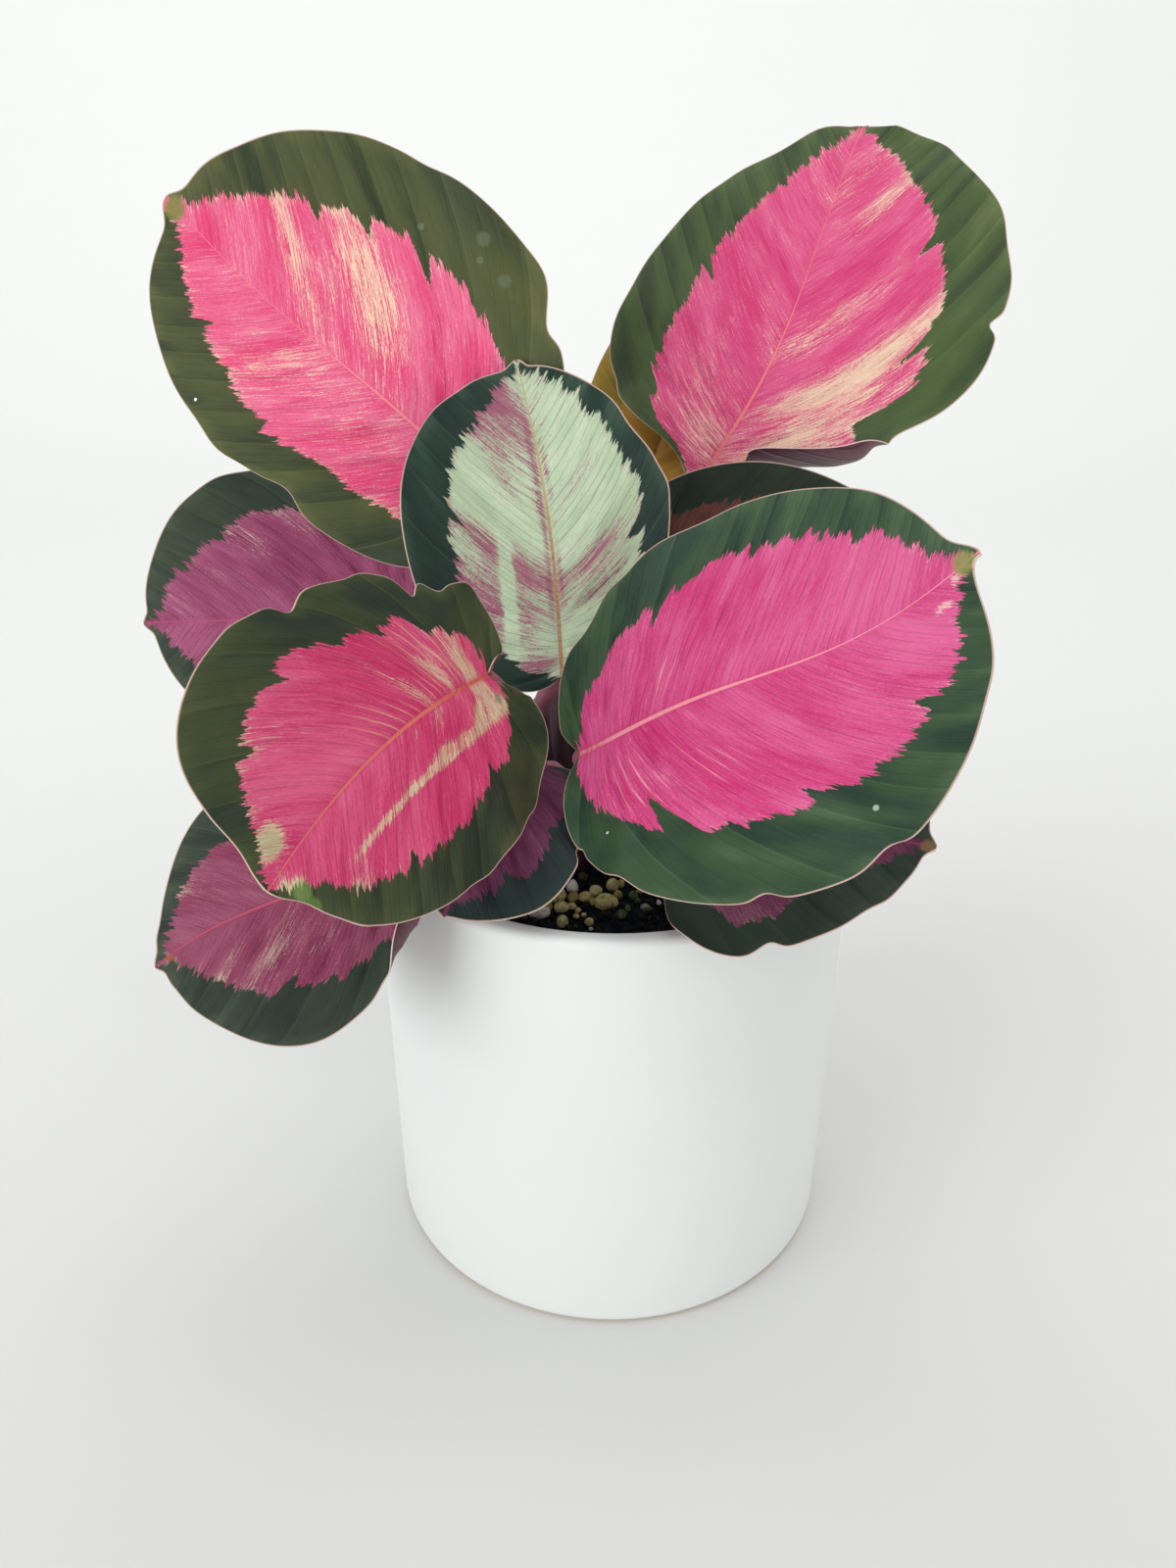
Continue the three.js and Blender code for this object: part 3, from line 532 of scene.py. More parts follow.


# - zone: how far the coloured part reaches, as shares of the half blade at ten places along it, left then
#   right. notches: side, place along, share cut away.
# - cream, the lighter or darker patches, and rays: patches of paler streaks, of lighter colour with painted
#   sheen (or, below 0, darker colour with painted shade) and of pale side veins, as millimetres along and
#   across, half sizes along the veins and across them, strength.
# - strips: patches of cream too, with their half sizes along the midrib and across it.
# - spots: millimetres along and across, radius, colour, strength.
# - deep and soft mix in the coloured part, with pale streaks above creamStart, the three greens round it,
#   and rib and ribBase in the midrib, which changes over the millimetres of ribTurn. lines: how clearly the
#   fine veins show.
leafLooks = {
    "back_left": {
        "zone": ((0.5, 0.58, 0.61, 0.63, 0.69, 0.7, 0.67, 0.63, 0.64, 0.6),
                 (0.5, 0.56, 0.58, 0.6, 0.66, 0.69, 0.68, 0.69, 0.69, 0.66)),
        "notches": [(1, 0.53, 0.16), (1, 0.63, 0.09), (1, 0.71, 0.1), (0, 0.79, 0.14), (0, 0.69, 0.07),
                    (0, 0.58, 0.07)],
        "cream": [(97, 17, 13, 5.5, 1.5), (73, 22, 17, 8, 1.8), (82, 12, 12, 7, 1.0), (60, 20, 14, 6, 1.1),
                  (74, -9, 9, 12, 0.7), (45, -12, 9, 10, 0.7), (88, -20, 9, 10, 0.6), (22, -26, 9, 9, 0.7)],
        "glow": [(39, -22, 12, 10, -0.9), (30, 10, 16, 10, -0.8), (120, 3, 10, 9, -0.5),
                 (8, -36, 16, 14, -1.2), (34, 40, 10, 9, 0.9), (60, 45, 10, 7, 0.7),
                 (78, 50, 8, 7, -0.8), (48, 46, 8, 6, -0.7), (100, -36, 10, 14, 0.5), (116, 22, 9, 9, -0.6)],
        "rays": [(16, 14, 14, 12, 0.7)],
        "spots": [(67, 44, 1.0, (112, 124, 104), 0.5), (51, 52, 1.9, (108, 122, 100), 0.4),
                  (40, 47, 1.8, (112, 126, 104), 0.35), (48.5, 47, 1.0, (116, 128, 106), 0.4),
                  # the water drop near 93 mm along is a dark ring of painted shade round a white speck of
                  # painted highlight
                  (93.5, -36.7, 1.8, (52, 56, 38), 0.7), (133, 0, 3.6, (122, 128, 60), 0.9),
                  (93.2, -36.3, 0.5, (244, 246, 244), 0.95)],
        "deep": (222, 52, 110), "soft": (234, 124, 158), "pale": (240, 216, 182), "creamStart": 0.24,
        "green": (74, 80, 42), "greenSoft": (112, 114, 68), "greenDeep": (42, 54, 28),
        "rib": (240, 138, 144), "ribBase": (226, 110, 96), "lines": 0.2,
    },
    "back_right": {
        "zone": ((0.8, 0.78, 0.72, 0.68, 0.67, 0.66, 0.66, 0.64, 0.62, 0.52),
                 (0.6, 0.66, 0.74, 0.76, 0.72, 0.7, 0.67, 0.65, 0.58, 0.54)),
        "notches": [(0, 0.52, 0.12), (0, 0.73, 0.05), (1, 0.65, 0.15), (1, 0.47, 0.13)],
        "cream": [(110, 18, 9, 7, 1.5), (63, 12, 18, 6, 1.1), (58, 34, 14, 8, 1.3), (45, 26, 20, 8, 1.2),
                  (38, 12, 12, 6, 1.2), (26, 20, 22, 9, 1.2), (16, 14, 16, 7, 1.1), (34, -14, 10, 12, 0.6),
                  (20, -6, 8, 8, 0.7), (118, 5, 12, 9, 0.8)],
        "glow": [(70, -20, 14, 14, -0.6), (80, 12, 12, 9, -0.6), (42, -44, 12, 20, -0.7),
                 (103, 52, 10, 12, 1.2), (66, -30, 5, 5, 0.5), (66, 52, 9, 7, 0.8),
                 (86, 42, 10, 8, -0.7), (50, 50, 10, 8, -0.3)],
        "rays": [(24, -12, 12, 14, 0.7), (34, 22, 20, 16, 0.6)],
        "deep": (206, 42, 108), "soft": (226, 104, 150), "pale": (238, 214, 182), "creamStart": 0.24,
        "green": (70, 90, 48), "greenSoft": (108, 122, 78), "greenDeep": (44, 62, 34),
        "rib": (236, 128, 128), "ribBase": (224, 104, 96), "lines": 0.25,
    },
    "rear": {
        "slot": "leaf_dark",
        "zone": ((0.55,) * 10, (0.55,) * 10),
        # these colours are lighter than the leaf's own: a painted light for the light that shines through it
        "deep": (238, 184, 76), "soft": (244, 198, 84), "pale": (222, 182, 100), "creamStart": 0.8,
        "green": (206, 174, 66), "greenSoft": (216, 186, 80), "greenDeep": (166, 146, 58),
        "rib": (200, 150, 84), "ribBase": (140, 96, 58), "lines": 0.15,
    },
    "centre": {
        "slot": "leaf_mint",
        "zone": ((0.35, 0.54, 0.6, 0.63, 0.67, 0.7, 0.72, 0.71, 0.7, 0.74),
                 (0.5, 0.62, 0.68, 0.74, 0.77, 0.8, 0.82, 0.85, 0.87, 0.88)),
        "notches": [(0, 0.57, 0.16), (1, 0.49, 0.16), (1, 0.73, 0.05)],
        "cream": [(81, -7, 7, 9, 1.8), (73, -8, 8, 8, 1.4), (72, -15, 6, 6, 1.1), (58, -10, 8, 7, 0.9),
                  (51, 8, 10, 5, 0.9), (42, -22, 10, 3, 1.5), (33, -14, 9, 6, 1.1), (28, -6, 8, 8, 1.6),
                  (24, -20, 10, 7, 1.7), (18, -8, 8, 6, 1.3), (12, -16, 8, 5, 1.1),
                  (30, 9, 11, 3.6, 1.7), (33, 17, 10, 4, 1.1), (22.5, 12, 10, 4, 1.5),
                  (3.5, -7, 6, 4.4, 1.6), (4, -2, 5, 5, 1.0)],
        "glow": [(60, 14, 20, 20, 0.6), (46, -18, 12, 8, -0.5), (20, 22, 10, 12, -0.7),
                 (60, -31, 6, 9, 1.2), (66, 10, 5, 3, -0.8)],
        "strips": [(24, -12.9, 17, 1.6, -2.6), (56, -1.5, 18, 1.3, 0.8), (57, 1.5, 9, 1.0, 0.7),
                   (30, 1.3, 12, 0.9, 0.6), (30, -1.3, 14, 0.9, 0.6)],
        "rays": [(30, -8, 12, 14, 0.7), (28, 12, 12, 6, 0.7)],
        "deep": (164, 186, 150), "soft": (202, 216, 188), "pale": (150, 54, 100), "creamStart": 0.2,
        "green": (30, 54, 44), "greenSoft": (76, 100, 82), "greenDeep": (16, 38, 34),
        "rib": (182, 158, 104), "ribBase": (158, 74, 70), "ribTurn": (52, 34), "lines": 0.75,
    },
    "mid_right": {
        "slot": "leaf_dark",
        "zone": ((0.78,) * 10, (0.62,) * 10),
        # these colours are darker than the leaf's own, in part a painted shade for the shadow it lies in
        "deep": (84, 40, 40), "soft": (106, 64, 52), "pale": (120, 88, 66), "creamStart": 0.6,
        "green": (28, 42, 28), "greenSoft": (46, 60, 40), "greenDeep": (18, 28, 20),
        "rib": (120, 70, 64), "ribBase": (90, 50, 50), "lines": 0.4,
    },
    "front_right": {
        "zone": ((0.34, 0.52, 0.65, 0.68, 0.7, 0.76, 0.75, 0.75, 0.75, 0.66),
                 (0.45, 0.57, 0.62, 0.61, 0.66, 0.66, 0.68, 0.74, 0.78, 0.66)),
        "notches": [(1, 0.365, 0.16), (1, 0.59, 0.1), (1, 0.79, 0.12), (0, 0.4, 0.1), (0, 0.61, 0.08),
                    (0, 0.81, 0.07)],
        "cream": [(20, 12, 9, 5, 0.4), (90, 24, 10, 8, 0.6), (100, -10, 6, 6, 0.6), (8, 10, 6, 5, 0.4)],
        "glow": [(93, -10, 14, 10, 0.8), (96, 12, 14, 10, 0.8), (50, 30, 16, 12, -0.7),
                 (18, -4, 14, 10, -0.6), (44, -12, 8, 8, -0.5), (62, -31, 10, 1.6, 1.5),
                 (74, -30, 6, 3, 0.8), (60, 37, 7, 4, 1.5), (38, 41, 8, 4, 1.0), (70, 42, 5, 3, 0.8),
                 (14, 38, 14, 10, 0.5), (66, -34, 6, 8, -0.6), (40, -28, 8, 12, -0.6), (26, 36, 8, 5, -0.6)],
        "strips": [(102.8, 1.5, 1.3, 1.3, 1.5), (97.9, 5.5, 2.6, 1.2, 1.5)],
        "rays": [(14, 14, 14, 10, 0.55), (38, 18, 12, 8, 0.45), (28, -8, 9, 7, 0.5)],
        "spots": [(8, 24.5, 0.35, (236, 240, 236), 0.9), (70, 40, 0.7, (196, 206, 190), 0.7),
                  (106, 0, 2.6, (138, 146, 76), 0.85)],
        "deep": (200, 42, 112), "soft": (222, 102, 154), "pale": (240, 200, 192), "creamStart": 0.4,
        "green": (54, 80, 52), "greenSoft": (92, 116, 86), "greenDeep": (30, 56, 42),
        "rib": (244, 160, 166), "ribBase": (190, 84, 92), "ribTurn": (12, 2), "lines": 0.55,
    },
    "front_left": {
        "zone": ((0.3, 0.52, 0.6, 0.63, 0.67, 0.69, 0.73, 0.71, 0.71, 0.55),
                 (0.15, 0.5, 0.6, 0.64, 0.64, 0.7, 0.7, 0.68, 0.66, 0.55)),
        "notches": [(0, 0.36, 0.1), (0, 0.68, 0.1), (1, 0.42, 0.06), (1, 0.66, 0.08), (1, 0.81, 0.1)],
        "cream": [(7, 4, 10, 5, 2.3), (16, 6, 8, 6, 1.7), (4, -3, 7, 5, 2.3), (24, 3, 12, 2.4, 2.0),
                  (70, 22, 6, 9, 1.0), (78, 13, 4, 5, 0.8), (30, -3, 3, 12, 0.6), (72, -16, 4, 8, 1.4)],
        "glow": [(68, 33, 10, 10, 0.9), (20, 28, 8, 12, -0.6), (40, -28, 8, 14, -0.8), (60, 8, 12, 10, 0.5),
                 (30, 16, 14, 8, -0.6), (50, 34, 10, 8, -0.5)],
        "strips": [(44, -11.7, 22, 1.1, 2.0), (22, -10.6, 13, 1.9, 2.0), (6, -8, 8, 2.8, 1.8),
                   (79, 5.4, 4.2, 3.6, 2.2), (84, -4, 4, 3, 1.4)],
        "rays": [(13, 11, 12, 15, 1.0), (48, 14, 14, 6, 0.3), (34, 3, 5, 20, 0.6)],
        "spots": [(79, 5.2, 2.6, (170, 182, 136), 0.6), (82.5, -6, 2.2, (128, 158, 82), 0.6),
                  (83.6, -9.5, 2.0, (108, 140, 62), 0.6), (1, -6.5, 1.5, (104, 140, 100), 0.6)],
        "deep": (198, 40, 98), "soft": (222, 98, 138), "pale": (212, 206, 164), "creamStart": 0.4,
        "green": (58, 70, 42), "greenSoft": (94, 102, 62), "greenDeep": (34, 52, 38),
        "rib": (222, 124, 104), "ribBase": (186, 62, 62), "ribTurn": (26, 10), "lines": 0.45,
    },
    "mid_left": {
        "zone": ((0.5, 0.6, 0.65, 0.68, 0.7, 0.7, 0.7, 0.7, 0.7, 0.7),
                 (0.5, 0.6, 0.66, 0.7, 0.74, 0.73, 0.71, 0.72, 0.76, 0.62)),
        "notches": [(1, 0.78, 0.1), (1, 0.65, 0.08)],
        "cream": [(73, 16, 8, 6, 1.0), (58, 26, 9, 6, 1.3), (40, 31, 8, 7, 1.1), (87, 5, 6, 8, 0.8)],
        "glow": [(42, 16, 16, 14, -0.7), (70, 5, 9, 9, 0.3), (46, 40, 8, 8, -0.6), (80, 26, 8, 6, 0.8)],
        "deep": (134, 40, 84), "soft": (176, 90, 128), "pale": (208, 178, 172), "creamStart": 0.4,
        "green": (50, 64, 44), "greenSoft": (86, 98, 74), "greenDeep": (28, 46, 34),
        "rib": (196, 84, 116), "ribBase": (160, 60, 84), "lines": 0.3,
    },
    "low_left": {
        "zone": ((0.5, 0.64, 0.68, 0.7, 0.68, 0.62, 0.7, 0.66, 0.63, 0.6),
                 (0.5, 0.62, 0.66, 0.68, 0.62, 0.6, 0.7, 0.8, 0.8, 0.7)),
        "notches": [(0, 0.57, 0.06), (0, 0.45, 0.06)],
        "cream": [(41, -14, 12, 6, 1.6), (56, -14, 8, 5, 1.2), (62, 15, 8, 6, 1.1), (28, -16, 8, 5, 1.0)],
        "glow": [(30, 4, 16, 12, -0.7), (66, 3, 7, 7, 0.4), (20, -16, 10, 8, -0.4), (40, -32, 8, 10, -0.5),
                 (60, -26, 8, 5, 0.7)],
        "strips": [(73, -3.5, 4.5, 4, 0.9)],
        "spots": [(71, -1, 1.2, (150, 84, 40), 0.8)],
        "deep": (128, 38, 76), "soft": (158, 86, 112), "pale": (192, 172, 154), "creamStart": 0.38,
        "green": (48, 62, 48), "greenSoft": (84, 96, 72), "greenDeep": (30, 44, 36),
        "rib": (190, 80, 104), "ribBase": (160, 60, 84), "lines": 0.3,
    },
    "low_front": {
        "zone": ((0.5, 0.6, 0.64, 0.66, 0.66, 0.67, 0.68, 0.58, 0.52, 0.4),
                 (0.5, 0.6, 0.64, 0.66, 0.66, 0.67, 0.68, 0.58, 0.52, 0.4)),
        "notches": [(0, 0.73, 0.1)],
        "cream": [(25, -14, 8, 1.6, 1.3)], "glow": [(24, -13, 9, 3, 0.8)],
        # these colours are darker than the leaf's own, in part a painted shade for the shadow it lies in
        "deep": (80, 24, 56), "soft": (108, 52, 82), "pale": (146, 92, 116), "creamStart": 0.55,
        "green": (24, 42, 40), "greenSoft": (40, 58, 52), "greenDeep": (16, 30, 32),
        "rib": (110, 54, 76), "ribBase": (90, 40, 60), "lines": 0.3,
    },
    "low_right": {
        "zone": ((0.4, 0.5, 0.56, 0.6, 0.62, 0.6, 0.56, 0.6, 0.6, 0.5),
                 (0.4, 0.5, 0.57, 0.64, 0.76, 0.78, 0.5, 0.42, 0.54, 0.6)),
        "cream": [(26, 27, 6, 6, 1.1), (34, 26, 5, 5, 0.9)],
        "glow": [(62, 2, 8, 8, -0.8), (28, 28, 6, 8, 0.8)],
        "spots": [(66.5, 0.5, 2.0, (132, 106, 68), 0.85)],
        # these colours are darker than the leaf's own, in part a painted shade for the shadow it lies in
        "deep": (104, 34, 72), "soft": (140, 78, 104), "pale": (176, 130, 138), "creamStart": 0.5,
        "green": (46, 64, 52), "greenSoft": (70, 86, 68), "greenDeep": (30, 46, 38),
        "rib": (130, 66, 86), "ribBase": (100, 50, 66), "lines": 0.3,
    },
}
# what a look has where a leaf's own entry says nothing
plainLook = {
    "slot": "leaf_pink", "notches": [], "cream": [], "glow": [], "rays": [], "strips": [], "spots": [],
    "ribTurn": (30, 4),
}


def fillIn(entries, plain):
    for own in entries.values():
        for key, value in plain.items():
            own.setdefault(key, value)


fillIn(leafForms, plainForm)
fillIn(leafLooks, plainLook)

# stations: first and last place along the blade, and number, of the zone's shares. notch: a notch's half
# width in millimetres. strips: how much stronger a strip is than a patch. most: the limit of their sum.
zoneEdge = {"stations": (0.05, 0.95, 10), "notch": 2.4}
patch = {"strips": 1.6, "most": 2.5}


def zoneInside(form, look, s, t, made):  # millimetres inside the coloured zone's edge
    stations = np.linspace(*zoneEdge["stations"])
    right = t >= 0
    leftReach, rightReach = (np.interp(s, stations, shares) for shares in look["zone"])
    inside = (np.where(right, rightReach, leftReach) - np.abs(t)) * made["margin"]
    for side, place, depth in look["notches"]:
        share = np.interp(place, stations, look["zone"][side])
        spot = bladeSurface(form, np.array([place]), np.array([share if side == 1 else -share]))
        start = veinPlace(form, spot["along"], spot["across"])[0]
        wedge = np.maximum(0, 1 - np.abs(made["vein"] - start) / zoneEdge["notch"])
        inside = inside - depth * spot["margin"][0] * wedge * (right == (side == 1))
    return inside


def patches(form, made, listed, strips=()):  # strength of the patches at each point
    strength = np.zeros(len(made["along"]))
    for along, across, run, width, amount in listed:
        start = veinPlace(form, np.array([along]), np.array([across]))[0]
        far = ((made["vein"] - start) / width) ** 2 + ((made["across"] - across) / run) ** 2
        strength = strength + amount * np.exp(-far)
    for along, across, run, width, amount in strips:
        far = ((made["along"] - along) / run) ** 4 + ((made["across"] - across) / width) ** 2
        strength = strength + patch["strips"] * amount * np.exp(-far)
    return np.clip(strength, -patch["most"], patch["most"])


# Patterns on a blade, which follow its side veins: scale across the veins and along them, detail, roughness
# and shift. Threads run along the veins and grain breaks them up.
patterns = {
    "wander": (0.3, 0.12, 2, 0.5, 0), "threads": (2.6, 0.16, 4, 0.68, 11), "grain": (4.5, 1.8, 3, 0.6, 13),
    "bundle": (0.9, 0.06, 3, 0.5, 23), "cloud": (0.11, 0.07, 1, 0.5, 7), "lobes": (0.24, 0, 2, 0.5, 3),
    "frayed": (2.8, 0.45, 3, 0.6, 5), "mottle": (0.09, 0.07, 2, 0.5, 17),
}
# The upper face. Fingers, bays and frayed are how far the coloured zone's edge wanders, in millimetres. Each
# pair is where a fade starts and ends, and two more numbers are its strengths there.
face = {
    "finger": 1.4, "fingerWander": 2.2, "halves": 40, "fingerLength": 1.7, "fingerPoint": 1.5, "bays": 4.5,
    "frayed": 3.4, "zone": (-0.12, 0.14), "tint": (-0.3, 0.3), "strand": (0.03, 0.006),
    "nearEdge": (2.4, 0.0, 0.0, 0.25),
    "creamFade": 0.5, "creamMost": 0.9, "tone": (-0.24, 0.12), "softTone": (0.08, 0.46, 0.0, 0.75),
    "mainVein": (0.3, 0.06, 0.0, 0.25), "nearMargin": (4.0, 0.3, 0.0, 0.3), "palePart": (0.4, 0.6),
    "fineVein": (0.22, 0.05), "finePart": (0.3, 0.55, 0.35, 1.0), "ray": (0.34, 0.1),
    "rayPart": (0.2, 0.8, 0.0, 0.8), "ribHalf": (5, 95, 0.5, 0.08), "ribTint": (0.42, 0.6),
    "besideRib": (3.4, 1.4, 0.0, 0.3), "ribEdge": (1.3, 0.75, 0.0, 0.9), "spotEdge": (1.5, 0.4),
    "rim": (0.3, 0.12, 0.0, 0.8), "rimColour": (206, 174, 160), "sheen": (0.2, 0.8, 0.42, 0.58),
    "furrow": (0.5, 0.0, 0.0, -0.5), "bump": 0.2,
}


def leafFinish(name, look, seed):
    top = Finish("leaf_" + name, roughness=0.5, specular=0.25)
    vein, across, along, inside = (top.field(field) for field in ("vein", "across", "along", "inside"))
    cream, glow, edge = (top.field(field) for field in ("cream", "glow", "edge"))

    def pattern(kind):
        byVein, byAcross, detail, roughness, shift = patterns[kind]
        where = top.space(vein * byVein, across * byAcross, seed + shift)
        return top.noise(where, detail=detail, roughness=roughness)

    wander, threads, grain, bundle, cloud, lobes, frayed, mottle = (pattern(kind) for kind in patterns)
    strands = top.rise((bundle - 0.5).size(), *face["strand"])

    # the coloured zone ends in bays and in fingers of uneven length, which differ from half to half
    strip = vein / face["finger"] + wander * face["fingerWander"] + across.sign() * face["halves"]
    finger = top.node("ShaderNodeTexWhiteNoise", {"noise_dimensions": "1D"}, {"W": strip.whole()})
    point = (strip.fraction() - 0.5).size()
    ragged = inside + (finger - 0.5) * face["fingerLength"] - point * face["fingerPoint"]
    ragged = ragged + (lobes - 0.5) * face["bays"] + (frayed - 0.5) * face["frayed"]
    zone = top.rise(ragged, *face["zone"])

    # its flesh goes from deep to soft, lighter or darker under the patches of tone with painted sheen and
    # shade, with pale streaks where the cream is strong
    fibres = (threads - 0.5) * 1.9 + (grain - 0.5) * 1.3
    tint = glow * 0.2 + (cloud - 0.5) * 0.5 + fibres * 0.55
    flesh = top.mix(top.rise(tint, *face["tint"]), paint(*look["deep"]), paint(*look["soft"]))
    speck = cream * 0.3 + fibres + (cloud - 0.5) * 0.4 + top.rise(ragged, *face["nearEdge"])
    speck = speck + strands * (cream.atLeast(0.0) * 0.2 + 0.12)
    start = look["creamStart"]
    pale = top.rise(speck, start, start + face["creamFade"], 0.0, face["creamMost"])
    flesh = top.mix(pale, flesh, paint(*look["pale"]))

    # the green round it is lighter along the main veins and towards the margin. Each bay between main veins
    # carries painted shade on one side and painted light on the other, as its quilting would be lit, and the
    # patches add tone with painted sheen and shade.
    mainSteps = vein / fan["mainVein"]
    paintedBayShade = (mainSteps + 0.5).fraction() - 0.5
    tone = glow * 0.2 + (mottle - 0.5) * 0.8 + paintedBayShade * 0.14 + (threads - 0.5) * 0.2 + (grain - 0.5) * 0.2
    green = top.mix(top.rise(tone, *face["tone"]), paint(*look["greenDeep"]), paint(*look["green"]))
    softGreen = paint(*look["greenSoft"])
    green = top.mix(top.rise(tone, *face["softTone"]), green, softGreen)
    mainVein = fromVein(mainSteps, fan["mainVein"])
    green = top.mix(top.rise(mainVein, *face["mainVein"]), green, softGreen)
    nearMargin = top.rise(edge, *face["nearMargin"]) * top.rise(mottle, *face["palePart"])
    green = top.mix(nearMargin, green, softGreen)
    colour = top.mix(zone, green, flesh)

    fineSteps = vein / fan["fineVein"] + wander * 0.4
    fineVein = fromVein(fineSteps, fan["fineVein"])
    line = top.rise(fineVein, *face["fineVein"]) * top.rise(mottle, *face["finePart"])
    colour = top.mix(line * look["lines"], colour, top.mix(0.5, colour, paint(*look["greenDeep"])))
    if look["rays"]:  # pale side veins, halfway between the fine ones
        ray = fromVein(fineSteps + 0.5, fan["fineVein"])
        ray = top.rise(ray + (grain - 0.5) * 0.5, *face["ray"]) * zone
        ray = ray * top.rise(top.field("rays") + (threads - 0.5) * 1.4, *face["rayPart"])
        colour = top.mix(ray, colour, top.mix(0.4, paint(*look["pale"]), paint(*look["rib"])))

    # the midrib narrows towards the tip, and lies in a strip of the deep colour
    ribColour = top.mix(top.rise(along, *look["ribTurn"]), paint(*look["rib"]), paint(*look["ribBase"]))
    ribTint = top.mix(top.rise((threads + grain) * 0.5, *face["ribTint"]), ribColour, paint(*look["rib"]))
    fromRib = across.size() / top.rise(along, *face["ribHalf"])
    colour = top.mix(top.rise(fromRib, *face["besideRib"]) * zone, colour, paint(*look["deep"]))
    colour = top.mix(top.rise(fromRib, *face["ribEdge"]), colour, ribTint)
    for spotAlong, spotAcross, radius, spotColour, amount in look["spots"]:
        far = (along - spotAlong) * (along - spotAlong) + (across - spotAcross) * (across - spotAcross)
        far = far / radius ** 2 + (grain - 0.5) * 1.2
        colour = top.mix(top.rise(far, *face["spotEdge"], 0.0, amount), colour, paint(*spotColour))
    top.colour(top.mix(top.rise(edge, *face["rim"]), colour, paint(*face["rimColour"])))
    top.roughness(top.rise(mottle + (grain - 0.5) * 0.4, *face["sheen"]))
    height = top.rise(fineVein, *face["furrow"]) + threads * 0.8 + grain * 0.4
    top.bump(height, face["bump"] * mm, 0.7)
    return top.material


underside = {
    "fineVein": 2.9, "bump": 0.25, "dark": (78, 32, 50), "bright": (108, 54, 72), "line": (70, 34, 50),
    "midrib": (146, 104, 92),
}
margin = {"dark": (206, 168, 158), "bright": (226, 204, 188)}


def undersideFinish():
    under = Finish("leaf_underside", roughness=0.45)
    vein = under.field("vein")
    across = under.field("across")
    threads = under.noise(under.space(vein * 1.2, across * 0.06, 5.0), detail=4, roughness=0.6)
    cloud = under.noise(under.space(vein * 0.08, across * 0.05, 9.0), detail=2)
    share = under.rise(cloud + (threads - 0.5) * 0.7, 0.3, 0.7)
    colour = under.mix(share, paint(*underside["dark"]), paint(*underside["bright"]))
    fineVein = fromVein(vein / underside["fineVein"], underside["fineVein"])
    colour = under.mix(under.rise(fineVein, 0.35, 0.1, 0.0, 0.4), colour, paint(*underside["line"]))
    colour = under.mix(under.rise(across.size(), 1.8, 0.9, 0.0, 0.9), colour, paint(*underside["midrib"]))
    under.colour(colour)
    under.bump(threads + under.rise(fineVein, 0.5, 0.0), underside["bump"] * mm, 0.6)
    return under.material


def marginFinish():
    edge = Finish("leaf_margin", roughness=0.5)
    cloud = edge.noise(edge.place(), scale=60, detail=2)
    edge.colour(edge.mix(cloud, paint(*margin["dark"]), paint(*margin["bright"])))
    return edge.material


# The blade is quilted: its side veins lie in furrows, with low puckers between them. The quilting fades over
# the level share beside the midrib, and the blade thins towards the margin.
quilt = {
    "furrow": 0.8, "furrowWidth": 2.2, "pucker": 0.34, "puckerAlong": 4.3, "puckerAcross": 6.5,
    "swell": (3.1, 7.7), "level": 0.25, "midribFurrow": 0.5, "midribWidth": 1.6, "midribStart": 10,
    "thinEdge": 0.5, "thinReach": 1.5,
}


def quilting(made, share, s, seed):  # millimetres that a point stands above the plain blade
    bell = np.clip(share / quilt["level"], 0, 1) * (1 - share ** 4)
    bell = bell * np.sin(math.pi * np.clip(s, 0, 1)) ** 0.5
    apart = np.abs((made["vein"] / fan["mainVein"]) % 1 - 0.5) * fan["mainVein"]
    relief = -quilt["furrow"] * np.exp(-((apart / quilt["furrowWidth"]) ** 2))
    puckers = np.sin(made["vein"] * math.pi / quilt["puckerAlong"] + seed)
    puckers = puckers * np.sin(made["across"] * math.pi / quilt["puckerAcross"] + 2 * seed)
    swell = np.sin(made["vein"] / quilt["swell"][0] + made["across"] / quilt["swell"][1])
    relief += quilt["pucker"] * (puckers + swell)
    furrow = np.exp(-((made["across"] / quilt["midribWidth"]) ** 2))
    furrow = furrow * np.clip(made["along"] / quilt["midribStart"], 0, 1)
    return relief * bell - quilt["midribFurrow"] * furrow


def bladeWeights(made, s):  # thickness over the greatest one: full at the midrib, thin at the margin
    fade = np.exp(-((np.minimum(0, made["along"]) / blade["ribStart"]) ** 2))
    rib = blade["ribHeight"] * (1 - blade["ribTaper"] * s) * fade
    rib = rib * np.exp(-((made["across"] / blade["ribWidth"]) ** 2))
    edge = 1 - quilt["thinEdge"] * np.exp(-made["edge"] / quilt["thinReach"])
    return (blade["thickness"] * edge + rib) / (blade["thickness"] + blade["ribHeight"])


